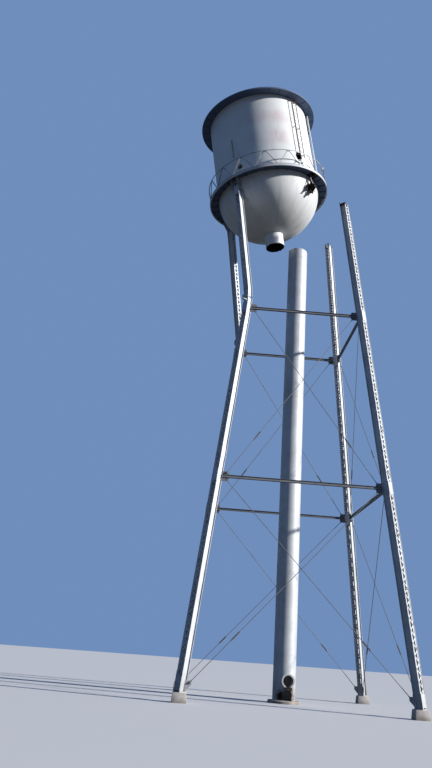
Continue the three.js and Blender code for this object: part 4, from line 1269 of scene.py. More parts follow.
class BuildBraceRods(Operator):
    """Builds the crossing rods of the two lower panels and carries them round the four faces."""

    bl_idname = "water_tower.brace_rods"
    bl_label = "Brace rods"

    def execute(self, context):
        offset = GUSSET / 2 + ROD_RADIUS + 0.002
        foot_pin = (FOOT_HALF_SPREAD - FOOT_PIN_INSET, FOOT_PIN_RISE)
        panels = {
            "lower": (foot_pin, pin_at(LOWER_STRUT_LEVEL, -PIN_DROP)),
            "middle": (pin_at(LOWER_STRUT_LEVEL, PIN_DROP), pin_at(UPPER_STRUT_LEVEL, -PIN_DROP)),
        }
        for label, (low, high) in panels.items():
            on_each_face(brace_rod((-low[0], low[1]), high, -offset), "rod_" + label + "_rising", "rod_steel")
            on_each_face(brace_rod(low, (-high[0], high[1]), offset), "rod_" + label + "_falling", "rod_steel")
        return {"FINISHED"}


# Riser


def frayed(pipe, end, away, reach, depth, seed):
    """Draws the rim of a pipe back in waves, near the level where it was cut or torn off."""
    chooser = random.Random(seed)
    waves = random_waves(chooser, lambda: chooser.randint(3, 17), 7, 0.3, 1.0)

    def change(co):
        share = min(1.0, max(0.0, 1 - away * (end - co.z) / reach)) ** 2
        wave = wave_at(waves, math.atan2(co.y, co.x)) / 4
        return co - Vector((0, 0, away * depth * share * (1 + wave)))

    return shaped(pipe, change)


def weld_ring(height):
    """A weld bead round the riser."""
    half = bpy.context.scene.tower_sizes.weld_width / 2
    root = RISER_RADIUS - 0.004
    crown = RISER_RADIUS + 0.005
    outline = [(root, height - half), (crown, height - half * 0.5)]
    outline += [(crown, height + half * 0.5), (root, height + half)]
    return lathed(outline, RISER_SIDES)


def weld_line(azimuth, low, high):
    """An upright weld bead on the riser."""
    half = bpy.context.scene.tower_sizes.weld_width / 2
    piece = block((RISER_RADIUS - 0.006, -half, low), (RISER_RADIUS + 0.004, half, high), 0.003)
    return placed(piece, turned_about("Z", azimuth))


def riser_tube(low, high, steps):
    """A length of the pipe with a ring of edges at each step of its height."""
    inner = RISER_RADIUS - RISER_WALL
    wall = [(RISER_RADIUS - 0.001, height) for height in spread(low, high, steps)]
    return lathed([(inner, low), *wall, (inner, high)], RISER_SIDES)


def ragged_disc(half_width, half_height, seed, points, roughness):
    """The outline of a hole burnt or torn through a plate."""
    chooser = random.Random(seed)
    outline = []
    for index in range(points):
        angle = 2 * math.pi * index / points
        reach = 1 - chooser.uniform(0, roughness)
        outline.append((half_width * reach * math.cos(angle), half_height * reach * math.sin(angle)))
    return outline


class BuildRiser(Operator):
    """Builds the riser's base with its manhole and notch, and the pipe above it."""

    bl_idname = "water_tower.riser"
    bl_label = "Riser"

    def execute(self, context):
        facing = turned_about("Z", MANHOLE_AZIMUTH)
        base = riser_tube(RISER_PAD_HEIGHT, RISER_BASE_TOP, 24)
        bore = cylinder(MANHOLE_RADIUS, 0.9, 32)
        holed(base, placed(bore, facing @ moved(RISER_RADIUS, 0, MANHOLE_LEVEL) @ TO_X))
        self.notch(base, facing)
        beads = [weld_ring(RISER_BASE_TOP - 0.02), weld_line(1.2, 0.2, 2.4)]
        finished(joined([base, *beads]), "riser_pipe_base", "silver_paint", "silver_paint", "riser_base")
        self.neck(facing)
        self.pipe()
        return {"FINISHED"}

    def notch(self, base, facing):
        """The notch burnt through the pipe's foot under the manhole, and the blackening round it."""
        half = NOTCH_WIDTH / 2
        top = RISER_PAD_HEIGHT + NOTCH_HEIGHT
        outline = [(-half, -0.1), (half * 0.94, -0.1), (half, 0.16), (half * 0.90, 0.33)]
        outline += [(half * 0.97, top - 0.20), (half * 0.55, top - 0.03), (half * 0.10, top - 0.07)]
        outline += [(-half * 0.35, top), (-half * 0.80, top - 0.10), (-half * 0.96, top - 0.27)]
        outline += [(-half * 0.88, 0.24)]
        holed(base, placed(drawn(outline, 0.9), facing @ on_wall(0.0, RISER_RADIUS, 0.0)))
        # Black round the notch, and over a wide patch low down to its left
        places = ((RISER_RADIUS, 0, 0.45), (RISER_RADIUS, 0.2, 0.75), (RISER_RADIUS * 0.9, -0.3, 0.35))
        radii = (0.75, 0.40, 0.70)
        burnt_near(base, [(facing @ Vector(place), radius) for place, radius in zip(places, radii)])

    def neck(self, facing):
        """The manhole's neck and its bolted flange."""
        inner = MANHOLE_RADIUS
        outer = inner + 0.026
        reach = RISER_RADIUS + MANHOLE_REACH
        outline = [(inner, 0.53), (outer, 0.53), (outer, reach - 0.022), (outer + 0.052, reach - 0.022)]
        outline += [(outer + 0.052, reach), (inner, reach)]
        flange = [turn @ moved(outer + 0.028, 0, reach) for turn in round_turns(16)]
        whole = joined([lathed(outline, 40), repeated(bolt_head(0.014, 0.012, 0.01), flange)])
        placed(whole, facing @ moved(0, 0, MANHOLE_LEVEL) @ TO_X)
        holed(whole, cylinder(RISER_RADIUS - RISER_WALL, 3, RISER_SIDES, 1))
        burnt_near(whole, [(facing @ Vector((RISER_RADIUS + 0.1, 0, MANHOLE_LEVEL - 0.35)), 0.3)])
        finished(whole, "riser_manhole_neck", "silver_paint", "silver_paint", "riser_manhole")

    def pipe(self):
        """The pipe above its base, with its welds and its ragged, burnt top."""
        pipe = riser_tube(RISER_BASE_TOP, RISER_TOP_LEVEL + 0.2, 84)
        top = Vector((0, 0, RISER_TOP_LEVEL))
        cut(pipe, top, (RISER_CUT_SLOPE, 0, 1))
        frayed(pipe, RISER_TOP_LEVEL + 0.07, 1, 0.39, 0.07, 31)
        burnt_near(pipe, [(top, 0.95)])
        pieces = [pipe]
        for course in range(int((RISER_TOP_LEVEL - 0.5 - RISER_BASE_TOP) / WELD_COURSE)):
            low = RISER_BASE_TOP + WELD_COURSE * course
            pieces += [weld_ring(low + WELD_COURSE), weld_line(0.7 + 2.4 * course, low, low + WELD_COURSE)]
        finished(joined(pieces), "riser_pipe_upper", "silver_paint", "silver_paint", "riser_pipe")


# Tank


def on_wall(azimuth, radius, height):
    """A frame on a round wall about Z: its Z points out of the wall, X runs round it and Y up it."""
    out = Vector((math.cos(azimuth), math.sin(azimuth), 0))
    return frame_of(Vector((-out.y, out.x, 0)), Vector((0, 0, 1)), out, out * radius + Vector((0, 0, height)))


def bowl_curve(grow, stop, steps=24):
    """Points down a half ellipse, from the balcony plane to where it meets a radius."""
    radius = TANK_RADIUS + grow
    last = math.acos(stop / radius)
    depth = BOWL_DEPTH + grow
    return [(radius * math.cos(angle), -depth * math.sin(angle)) for angle in spread(0, last, steps)]


def on_bowl(angle, across):
    """A frame on the bowl's surface, with Z along its normal and moved sideways by a distance."""
    place = Vector((TANK_RADIUS * math.cos(angle), across, -BOWL_DEPTH * math.sin(angle)))
    normal = Vector((math.cos(angle) / TANK_RADIUS, 0, -math.sin(angle) / BOWL_DEPTH)).normalized()
    side = Vector((0, 1, 0))
    return frame_of(side, normal.cross(side), normal, place + normal * 0.003)


def laps(outline, width, count, start=0.0):
    """Narrow strips of a turned form, evenly round Z."""
    return repeated(lathed(outline, 1, sweep=width, start=-width / 2), round_turns(count, start))


def ring_of_rivets(radius, height, count, head=TANK_RIVET):
    places = [on_wall(2 * math.pi * index / count, radius, height) for index in range(count)]
    return rivets(places, head, 0.008)


def tank_solid():
    """The space inside the tank's outer surface, to fit other pieces against it."""
    radius = TANK_RADIUS + 0.001
    curve = bowl_curve(0.001, 0.02)
    return lathed([(0, SHELL_HEIGHT), (radius, SHELL_HEIGHT), *curve, (0, curve[-1][1])], 96, closed=False)


def petals(azimuth, height, half_width, half_height, count, seed):
    """Bent tongues of plate round a torn hole."""
    chooser = random.Random(seed)
    pieces = []
    for index in range(count):
        angle = 2 * math.pi * (index + chooser.uniform(-0.3, 0.3)) / count
        wide = chooser.uniform(0.3, 0.55) * half_width
        long = chooser.uniform(0.35, 0.8) * half_width
        tip = chooser.uniform(-0.4, 0.4) * wide
        tongue = drawn([(-wide, 0), (wide, 0), (wide * 0.4, long * 0.6), (tip, long)], 0.008)
        bend = chooser.uniform(0.5, 1.5) * chooser.choice((1, 1, -1))
        rim = moved(half_width * 0.97 * math.cos(angle), half_height * 0.97 * math.sin(angle), -0.006)
        turn = turned_about("Z", angle + math.pi / 2) @ turned_about("X", -bend)
        pieces.append(placed(tongue, on_wall(azimuth, TANK_RADIUS, height) @ rim @ turn))
    return joined(pieces)


class BuildTank(Operator):
    """Builds the shell with its torn holes, the riveted bowl and the neck under it."""

    bl_idname = "water_tower.tank"
    bl_label = "Tank"

    def execute(self, context):
        self.shell(context.scene.tower_sizes.shell_rivet_count)
        self.bowl()
        self.neck()
        return {"FINISHED"}

    def shell(self, count):
        """Three courses of plate, each lapped inside the one below, with rivets at every seam."""
        inner = TANK_RADIUS - TANK_WALL - 0.010
        heights = spread(0, SHELL_HEIGHT, SHELL_COURSES + 1)
        courses = [(TANK_RADIUS - 0.004 * index, *heights[index:index + 2]) for index in range(SHELL_COURSES)]
        outline = [(inner, SEAT_GAP)]
        for radius, low, high in courses:
            rows = [low or SEAT_GAP, low + 0.10, *spread(low + 0.35, high - 0.35, 6), high - 0.10, high]
            outline += [(radius, height) for height in rows]
        shell = lathed([*outline, (inner, SHELL_HEIGHT)], TANK_SIDES)
        # Azimuth, height, half width and half height, tongues of plate, seed
        holes = (
            (-57.0, 1.20, 0.285, 0.360, 7, 3),
            (-53.5, 0.80, 0.10, 0.110, 4, 5),
            (-128.0, 0.80, 0.20, 0.150, 6, 9),
        )
        tongues = []
        burns = []
        for azimuth, height, half_width, half_height, tongue_count, seed in holes:
            angle = math.radians(azimuth)
            place = on_wall(angle, TANK_RADIUS, height)
            holed(shell, placed(drawn(ragged_disc(half_width, half_height, seed, 18, 0.28), 0.5), place))
            tongues.append(petals(angle, height, half_width, half_height, tongue_count, seed))
            burns.append((place.translation, half_width * 2.2))
        marked(shell, "seam", lambda co: max(1 - abs(co.z - height) / 0.11 for height in heights))
        burnt_near(shell, burns)
        pieces = [shell]
        for index, (radius, low, high) in enumerate(courses):
            pieces.append(ring_of_rivets(radius, low + 0.045, count))
            if high == SHELL_HEIGHT:
                pieces.append(ring_of_rivets(radius, high - 0.045, count))
            upright = []
            for plate in range(PLATES_IN_COURSE):
                azimuth = 2 * math.pi * (plate + index * 0.5) / PLATES_IN_COURSE + 0.21
                for height in spread(low + 0.15, high - 0.12, 16):
                    place = on_wall(azimuth, radius, height)
                    upright += [place @ moved(side, 0, 0) for side in (-0.022, 0.022)]
            pieces.append(rivets(upright, TANK_RIVET, 0.008))
        for radius, low, high in courses[1:]:
            lap = [(radius - 0.006, low - 0.003), (radius + 0.004, low - 0.003), (radius + 0.004, low + 0.09)]
            pieces.append(lathed([*lap, (radius - 0.006, low + 0.092)], TANK_SIDES))
        whole = placed(joined(pieces + tongues), TANK)
        finished(whole, "shell_plates", "tank_paint", "shell_paint", "tank_shell")

    def bowl(self):
        """The half ellipsoid of gores, their laps and their rivets."""
        bowl = lathed(bowl_curve(0, NECK_RADIUS) + bowl_curve(-0.012, NECK_RADIUS)[::-1], TANK_SIDES)
        marked(bowl, "seam", lambda co: 1 - abs(co.z + 0.04) / 0.2)
        over = bowl_curve(0.003, NECK_RADIUS + 0.01, 25)
        under = bowl_curve(-0.006, NECK_RADIUS + 0.01, 25)
        strips = laps(over + under[::-1], 0.09 / TANK_RADIUS, BOWL_GORES, 0.1)
        marked(strips, "seam", lambda co: 0.7)
        places = []
        for turn in round_turns(BOWL_GORES, 0.1):
            for angle in spread(0.06, 1.35, 34):
                half = 0.024 * math.cos(angle)
                places += [turn @ on_bowl(angle, half), turn @ on_bowl(angle, -half)]
        whole = placed(joined([bowl, strips, rivets(places, TANK_RIVET, 0.008)]), TANK)
        nodes = ["tank_bowl_" + quarter for quarter in FACES]
        finished(whole, "bowl_plates", "tank_paint", "bowl_paint", *nodes)

    def neck(self):
        """The short pipe under the bowl: its collar, and the torn edge where the riser came away."""
        inner = NECK_RADIUS - 0.016
        top = bowl_curve(0, NECK_RADIUS)[-1][1] + 0.05
        radius = NECK_RADIUS - 0.002
        wall = [(radius, height) for height in spread(NECK_BOTTOM, top, 10)]
        pipe = lathed([(inner, NECK_BOTTOM), *wall, (inner, top)], RISER_SIDES)
        frayed(pipe, NECK_BOTTOM, -1, 0.35, 0.03, 5)
        lip = NECK_BOTTOM + 0.22
        marked(pipe, "burn", lambda co: 1.0 if co.xy.length < inner + 0.004 else 0.75 * (lip - co.z) / 0.22)
        collar = lathed(band(radius - 0.004, radius + 0.014, top - 0.20, top - 0.04), RISER_SIDES)
        heads = ring_of_rivets(radius + 0.014, top - 0.12, 36, 0.012)
        whole = placed(joined([pipe, collar, heads]), TANK)
        finished(whole, "neck_pipe", "tank_paint", "roof_paint", "tank_neck")


class BuildRoof(Operator):
    """Builds the conical roof with its wide eave, and its vent."""

    bl_idname = "water_tower.roof"
    bl_label = "Roof"

    def execute(self, context):
        soffit = SHELL_HEIGHT + SEAT_GAP
        rim = soffit + ROOF_EDGE
        apex = rim + ROOF_RISE
        pitch = ROOF_RISE / ROOF_RADIUS
        seat = TANK_RADIUS - 0.09
        plate = 0.024

        def on_cone(radius, lift=0.0):
            return (radius, apex - pitch * radius + lift)

        outer = [on_cone(radius) for radius in (ROOF_RADIUS - 0.004, 3.0, 2.0, 1.0)]
        edge = [(seat, soffit), (ROOF_RADIUS - 0.004, soffit), (ROOF_RADIUS, soffit + 0.004), (ROOF_RADIUS, rim)]
        outline = [(0, apex - plate), on_cone(seat, -plate), *edge, *outer, (0, apex)]
        roof = lathed(outline, TANK_SIDES, closed=False)
        strip = [on_cone(ROOF_RADIUS - 0.02, -0.006), on_cone(ROOF_RADIUS - 0.02, 0.005), on_cone(0.25, 0.005)]
        strips = laps([*strip, on_cone(0.25, -0.006)], 0.10 / ROOF_RADIUS, ROOF_SHEETS)
        # An angle runs round the eave, and small bars stiffen the soffit from the shell to the rim
        angle = band(ROOF_RADIUS - 0.010, ROOF_RADIUS - 0.002, soffit - 0.030, soffit + 0.002)
        ring = lathed(angle, TANK_SIDES)
        high = (ROOF_RADIUS - 0.012, 0.018, soffit + 0.001)
        bar = block((TANK_RADIUS + 0.01, -0.018, soffit - 0.028), high, 0.003)
        bars = repeated(bar, round_turns(SOFFIT_BARS, math.pi / SOFFIT_BARS))
        whole = joined([roof, strips, ring, bars])
        # The soffit, the eave's underside and its rim are marked for painted shade
        marked(whole, "under", lambda co: co.z < rim - 0.01 or math.hypot(co.x, co.y) > ROOF_RADIUS - 0.001)
        finished(placed(whole, TANK), "roof_plates", "tank_paint", "roof_paint", "tank_roof")
        self.vent(apex, pitch)
        return {"FINISHED"}

    def vent(self, apex, pitch):
        """A round vent: its throat, its hood with a rolled edge, and the knob on top."""
        low = apex + SEAT_GAP
        hood = low + 0.19
        outline = [(0, low), (0.170, low - pitch * 0.170), (0.200, low - pitch * 0.200 + 0.004)]
        outline += [(0.172, low + 0.01), (0.166, hood - 0.03), (0.290, hood - 0.036), (0.304, hood - 0.028)]
        outline += [(0.307, hood - 0.010), (0.296, hood + 0.002), (0.20, hood + 0.065), (0.10, hood + 0.108)]
        outline += [(0.030, hood + 0.126), (0.028, hood + 0.136), (0.016, hood + 0.146), (0, hood + 0.148)]
        studs = [turn @ moved(0.184, 0, low - pitch * 0.17) for turn in round_turns(12)]
        whole = joined([lathed(outline, 40, closed=False), repeated(bolt_head(0.010, 0.008), studs)])
        finished(placed(whole, TANK), "roof_vent_hood", "tank_paint", "roof_paint", "roof_vent")


# Balcony


def angle_bar(start, end, leg, thickness, toward):
    """A rolled angle between two points, one of its legs facing a direction."""
    length = (Vector(end) - Vector(start)).length
    half = leg / 2
    outline = [(-half, -half), (half, -half), (half, thickness - half), (thickness - half, thickness - half)]
    outline += [(thickness - half, half), (-half, half)]
    bar = placed(drawn(outline, length), moved(0, 0, length / 2))
    return placed(bar, frame_along(start, end, toward))


class BuildBalcony(Operator):
    """Builds the walkway's plates, its edge channel and the angles that carry it."""

    bl_idname = "water_tower.balcony"
    bl_label = "Balcony"

    def execute(self, context):
        inner = TANK_RADIUS + 0.001
        outer = DECK_RADIUS
        edge = [(outer, -DECK), (outer, -0.003), (outer - 0.003, 0)]
        deck = lathed([(inner, -DECK), *edge, (inner, 0)], TANK_SIDES)
        strips = laps(band(inner, outer - 0.01, -0.004, 0.004), 0.11 / outer, WALKWAY_PLATES, 0.14)
        # Radial angles under the plates, two to each
        under = -DECK - 0.026
        rib = angle_bar((inner, 0, under), (outer - 0.055, 0, under), 0.052, 0.007, (0, 0, 1))
        whole = joined([deck, strips, repeated(rib, round_turns(WALKWAY_RIBS, 0.05))])
        # The walkway's underside is marked for painted shade
        marked(whole, "under", lambda co: co.z < -0.02)
        finished(placed(whole, TANK), "walkway_plates", "silver_paint", "deck_paint", "balcony_deck")
        self.edge()
        return {"FINISHED"}

    def edge(self):
        """The channel round the walkway's edge, with its riveted splices."""
        top = UNDER_DECK
        low = top - EDGE_DEPTH
        outer = DECK_RADIUS
        inner = DECK_RADIUS - EDGE_WIDTH
        outline = [(outer, low), (outer, top), (inner, top), (inner, top - 0.009), (outer - 0.007, top - 0.011)]
        outline += [(outer - 0.007, low + 0.011), (inner, low + 0.009), (inner, low)]
        ring = lathed(outline, TANK_SIDES)
        plate = block((-0.19, -0.052, -0.0175), (0.19, 0.052, -0.0075), 0.002)
        heads = grid_of(moved(0, 0, -0.0075), (-0.15, -0.09, 0.09, 0.15), (-0.03, 0.03))
        azimuths = [2 * math.pi * index / EDGE_SPLICES + 0.33 for index in range(EDGE_SPLICES)]
        places = [on_wall(azimuth, outer + 0.004, (top + low) / 2) for azimuth in azimuths]
        whole = joined([ring, repeated(joined([plate, rivets(heads, 0.012, 0.007)]), places)])
        finished(placed(whole, TANK), "walkway_edge", "silver_paint", "deck_paint", "balcony_edge_channel")


def rail_point(azimuth, height):
    radius = DECK_RADIUS - RAIL_BAR
    return Vector((radius * math.cos(azimuth), radius * math.sin(azimuth), height))


def rail_shoe():
    """The bolted foot of a railing bar."""
    bolts = repeated(bolt_head(0.010, 0.008), [moved(x, 0, 0.011) for x in (-0.036, 0.036)])
    return joined([block((-0.05, -0.035, 0.001), (0.05, 0.035, 0.011), 0.002), bolts])


def rail_plate():
    """The riveted plate that ties a pair of bars to the rail."""
    heads = rivets(grid_of(moved(0, 0, 0.004), (-0.035, 0.035), (-0.06, 0.0)), 0.010, 0.006)
    return joined([drawn([(-0.10, 0.03), (0.10, 0.03), (0.045, -0.10), (-0.045, -0.10)], 0.008), heads])


def railing(first_module):
    """A quarter of the railing in the tank's frame: an angle for a rail, on bars that slant in pairs."""
    width = bpy.context.scene.tower_sizes.rail_post_width
    module = 2 * math.pi / RAIL_MODULES
    start = RAIL_FIRST_APEX + (first_module - 0.5) * module
    radius = DECK_RADIUS - RAIL_BAR
    top = RAIL_HEIGHT
    outer = radius + RAIL_BAR / 2
    inner = radius - RAIL_BAR / 2
    outline = [(inner, top), (outer, top), (outer, top - RAIL_BAR), (outer - 0.007, top - RAIL_BAR)]
    outline += [(outer - 0.007, top - 0.007), (inner, top - 0.007)]
    pieces = [lathed(outline, 40, sweep=4 * module, start=start)]
    for index in range(4):
        apex = start + (index + 0.5) * module
        outward = Vector((math.cos(apex), math.sin(apex), 0))
        for side in (-1, 1):
            foot = rail_point(apex + side * (module / 2 - 0.060 / radius), 0.002)
            head = rail_point(apex + side * 0.012, top - 0.008)
            pieces.append(angle_bar(foot, head, width, 0.006, outward))
            turn = turned_about("Z", math.atan2(foot.y, foot.x) + math.pi / 2)
            pieces.append(placed(rail_shoe(), Matrix.Translation(foot) @ turn))
        pieces.append(placed(rail_plate(), on_wall(apex, outer - 0.012, top - 0.045)))
    return joined(pieces)


def tangled(piece, middle, reach, seed):
    """Bends and drops the stretch of railing that the leg tore at."""
    chooser = random.Random(seed)
    waves = random_waves(chooser, lambda: chooser.uniform(2, 6), 6, -1, 1)

    def change(co):
        angle = math.atan2(co.y, co.x)
        share = max(0.0, 1 - abs(angle - middle) / reach)
        share = share * share * (3 - 2 * share) * min(1.0, co.z / 0.25)
        if share <= 0:
            return co
        out = Vector((math.cos(angle), math.sin(angle), 0))
        wave = wave_at(waves, angle * 3.9 + co.z) / 3
        other = wave_at(waves, angle * 3.9 - co.z, math.cos) / 3
        drop = 0.30 * share + 0.22 * share * other
        return co + out * (0.34 * share * wave + 0.10 * share) - Vector((0, 0, drop))

    return shaped(piece, change)


class BuildRailing(Operator):
    """Builds the four quarters of the railing. The right one was bent when its leg let go."""

    bl_idname = "water_tower.railing"
    bl_label = "Railing"

    def execute(self, context):
        for quarter, first in zip(FACES, (-1, 3, 7, 11)):
            piece = railing(first)
            if quarter in ("front", "right"):
                for angle in spread(-1.02, -0.14, 18):
                    cut(piece, (0, 0, 0), (-math.sin(angle), math.cos(angle), 0), remove=False)
                for height in (0.3, 0.5, 0.7, 0.85):
                    cut(piece, (0, 0, height), (0, 0, 1), remove=False)
                tangled(piece, math.radians(-33), 0.44, 12)
            placed(piece, TANK)
            finished(piece, quarter + "_guard_rail", "silver_paint", "rail_paint", "railing_" + quarter)
        return {"FINISHED"}


# What is left of the leg heads under the balcony


def cap_plate():
    """The plate that caps a leg under the walkway, in the frame of the leg's head."""
    return block((TANK_RADIUS - 0.3, -0.33, UNDER_DECK - 0.024), (3.845, 0.33, UNDER_DECK), 0.003)


def leg_head(corner):
    """The cap plate and riveted cheeks that tie a left-hand leg to the tank."""
    near = TANK_RADIUS - 0.3
    top = UNDER_DECK - 0.01
    outline = [(near, top), (near, -0.9), (3.56, -0.9), (3.60, -0.86), (3.785, -0.30), (3.785, top)]
    pieces = [cap_plate()]
    for side in (-1, 1):
        place = moved(0, side * (HALF_BREADTH + 0.0145), 0)
        pieces.append(placed(drawn(outline, 0.026), place @ UPRIGHT))
        edge = angle_bar((3.60, side * 0.035, -0.86), (3.785, side * 0.035, -0.30), 0.06, 0.008, (1, 0, 0))
        pieces.append(placed(edge, place))
        heads = []
        for radius in (3.45, 3.53, 3.61, 3.69):
            for drop in spread(-0.14, -0.82 + (radius - 3.45) * 1.2, 7):
                heads.append(place @ moved(radius, side * 0.013, drop) @ out_along_y(side))
        pieces.append(rivets(heads, 0.016, 0.010))
    whole = placed(joined(pieces), turned_about("Z", corner_azimuth(corner)))
    return holed(whole, tank_solid())


def torn_strip(start, end, width, chooser):
    """A narrow strip of steel that hangs and twists, in the frame of a leg's head."""
    start = Vector(start)
    end = Vector(end)
    strip = flat_bar(start, end, width, 0.012, (1, 0, 0))
    way = (end - start).normalized()
    for share in (0.2, 0.4, 0.6, 0.8):
        cut(strip, start.lerp(end, share), way, remove=False)
    side = way.cross(Vector((1, 0, 0))).normalized()
    bend = chooser.uniform(-0.10, 0.10)
    length = (end - start).length

    def change(co):
        along = (co - start).dot(way) / length
        return co + side * bend * math.sin(along * math.pi) + Vector((bend * along * along, 0, 0))

    return shaped(strip, change)


def crushed_plate(centre, size, chooser):
    """A jagged piece of plate, folded and turned at random."""
    plate = drawn(ragged_disc(size, size * chooser.uniform(0.5, 0.9), chooser.random(), 11, 0.45), 0.014)
    for share in (-0.5, 0.0, 0.5):
        cut(plate, (share * size, 0, 0), (1, 0.3, 0), remove=False)
    phase = chooser.uniform(0, 6.28)
    shaped(plate, lambda co: co + Vector((0, 0, 0.22 * size * math.sin(co.x * 9 / size + phase))))
    turn = Matrix.Identity(4)
    for axis in "XYZ":
        turn = turned_about(axis, chooser.uniform(-1.2, 1.2)) @ turn
    return placed(plate, Matrix.Translation(centre) @ turn @ turned_about("X", math.pi / 2))


def leg_stub(corner, seed):
    """What is left of a right-hand leg under the balcony: strips, and the crushed mass that hangs on them."""
    chooser = random.Random(seed)
    facing = turned_about("Z", corner_azimuth(corner))
    pieces = []
    hung = ((-0.31, -0.33), (-0.16, -0.10), (-0.10, -0.02), (0.04, 0.06), (0.15, 0.16), (0.26, 0.24))
    for start, end in hung:
        low = (chooser.uniform(3.44, 3.54), end, -0.66 - chooser.uniform(0.0, 0.25))
        pieces.append(torn_strip((3.50, start, -0.08), low, chooser.uniform(0.05, 0.09), chooser))
    for start, end in ((-0.22, 0.02), (0.20, 0.10)):
        strip = torn_strip((3.58, start, -0.08), (3.54, end, -0.66), 0.075, chooser)
        pieces.append(marked(strip, "bare", lambda co: 1))
    core = Vector((3.42, 0.09, -0.82))
    for _ in range(34):
        place = core + Vector([chooser.gauss(0, 1) * spot for spot in (0.05, 0.17, 0.14)])
        pieces.append(crushed_plate(place, chooser.uniform(0.15, 0.28), chooser))
    for turn in spread(-2.9, -0.3, 11):
        reach = chooser.uniform(0.38, 0.60)
        end = core + Vector((0, reach * math.cos(turn), reach * 0.75 * math.sin(turn)))
        pieces.append(torn_strip(core, end, chooser.uniform(0.03, 0.06), chooser))
    hanging = joined(pieces)
    if corner[1] > 0:
        placed(hanging, Matrix.Diagonal((1, 1, 0.5, 1)))
    placed(hanging, facing)
    # What hangs follows the plumb line, not the tank's axis
    down = TANK.to_3x3().transposed() @ Vector((0, 0, -1))
    plumb = Vector((down.x, down.y, 0)) / -down.z
    shaped(hanging, lambda co: co + plumb * max(0.0, -co.z - 0.15))
    whole = joined([placed(cap_plate(), facing), hanging])
    return holed(whole, tank_solid())


class BuildLegHeads(Operator):
    """Builds the two leg heads that still hold, and the two torn stubs."""

    bl_idname = "water_tower.leg_heads"
    bl_label = "Leg heads"

    def execute(self, context):
        for index, (name, corner) in enumerate(CORNERS.items()):
            if corner[0] > 0:
                piece = placed(leg_stub(corner, 40 + index), TANK)
                finished(piece, name + "_torn_stub", "torn_steel", "torn_steel", "leg_stub_" + name)
            else:
                piece = placed(leg_head(corner), TANK)
                finished(piece, name + "_cheek_plates", "silver_paint", "rod_paint", "leg_head_" + name)
        return {"FINISHED"}


# Ladder, conduit and gauge


class BuildLadder(Operator):
    """Builds the ladder, the conduit and the gauge bar on the shell."""

    bl_idname = "water_tower.ladder"
    bl_label = "Ladder, conduit and gauge"

    def execute(self, context):
        self.ladder()
        self.conduit()
        self.gauge()
        return {"FINISHED"}

    def ladder(self):
        """The ladder: its stiles on ties, and its rungs."""
        middle = TANK_RADIUS + LADDER_STANDOFF
        pieces = []
        ties = []
        for side in (-1, 1):
            across = side * LADDER_WIDTH / 2
            low = (middle - 0.03, across - 0.007, LADDER_FOOT)
            pieces.append(block(low, (middle + 0.03, across + 0.007, LADDER_TOP), 0.002))
            ties += [moved(0, across + side * 0.011, level) for level in (1.4, 3.5, 5.6)]
        arm = block((TANK_RADIUS - 0.006, -0.004, -0.02), (middle, 0.004, 0.02), 0.001)
        foot = block((TANK_RADIUS - 0.006, -0.045, -0.03), (TANK_RADIUS + 0.006, 0.045, 0.03), 0.001)
        pieces.append(repeated(joined([arm, foot]), ties))
        half = LADDER_WIDTH / 2 + 0.015
        rung = beveled(cylinder(0.011, 2 * half, 10), 0.003, lambda at, normal: abs(abs(at.z) - half) < 1e-4)
        low = LADDER_FOOT + 0.1
        count = int((LADDER_TOP - 0.02 - low) / RUNG_PITCH) + 1
        rungs = [moved(middle, 0, low + RUNG_PITCH * index) for index in range(count)]
        pieces.append(repeated(placed(rung, UPRIGHT), rungs))
        whole = placed(joined(pieces), TANK @ turned_about("Z", LADDER_AZIMUTH))
        finished(whole, "shell_ladder", "silver_paint", "ladder_paint", "tank_ladder")

    def conduit(self):
        """The conduit with its straps, their arms and feet, and its couplings."""
        centre = TANK_RADIUS + CONDUIT_STANDOFF
        pipe = round_bar((centre, 0, 0.0), (centre, 0, CONDUIT_TOP), 0.054, 20)
        strap = placed(lathed(band(0.055, 0.061, -0.02, 0.02), 20), moved(centre, 0, 0))
        arm = block((TANK_RADIUS - 0.006, -0.018, -0.018), (centre - 0.05, 0.018, 0.018), 0.003)
        foot = block((TANK_RADIUS - 0.008, -0.06, -0.05), (TANK_RADIUS + 0.006, 0.06, 0.05), 0.002)
        ties = repeated(joined([strap, arm, foot]), [moved(0, 0, level) for level in (0.9, 3.3, 5.5)])
        outline = [(0.05, -0.06), (0.063, -0.06), (0.066, -0.05), (0.066, 0.05), (0.063, 0.06), (0.05, 0.06)]
        sleeves = repeated(lathed(outline, 20), [moved(centre, 0, level) for level in (1.9, 3.9)])
        whole = placed(joined([pipe, ties, sleeves]), TANK @ turned_about("Z", CONDUIT_AZIMUTH))
        finished(whole, "shell_conduit", "silver_paint", "deck_paint", "tank_conduit")

    def gauge(self):
        """A dark guide bar on stand-off brackets, left of the front."""
        board = block((0.045, -0.035, 1.65), (0.055, 0.035, 3.05), 0.002)
        arm = block((-0.006, -0.03, -0.012), (0.046, 0.03, 0.012), 0.001)
        arms = repeated(arm, [moved(0, 0, height) for height in (1.75, 2.35, 2.95)])
        place = TANK @ turned_about("Z", GAUGE_AZIMUTH) @ moved(TANK_RADIUS, 0, 0)
        finished(placed(joined([board, arms]), place), "shell_gauge_bar", "silver_paint", "rod_paint")


# Studio


def aimed_light(name, way, energy, angle, colour):
    """A sun lamp whose light travels the given way."""
    lamp = bpy.data.lights.new(name, "SUN")
    lamp.energy = energy
    lamp.angle = angle
    lamp.color = colour
    holder = bpy.data.objects.new(name, lamp)
    holder.rotation_euler = Vector(way).to_track_quat("-Z", "Y").to_euler()
    bpy.context.scene.collection.objects.link(holder)


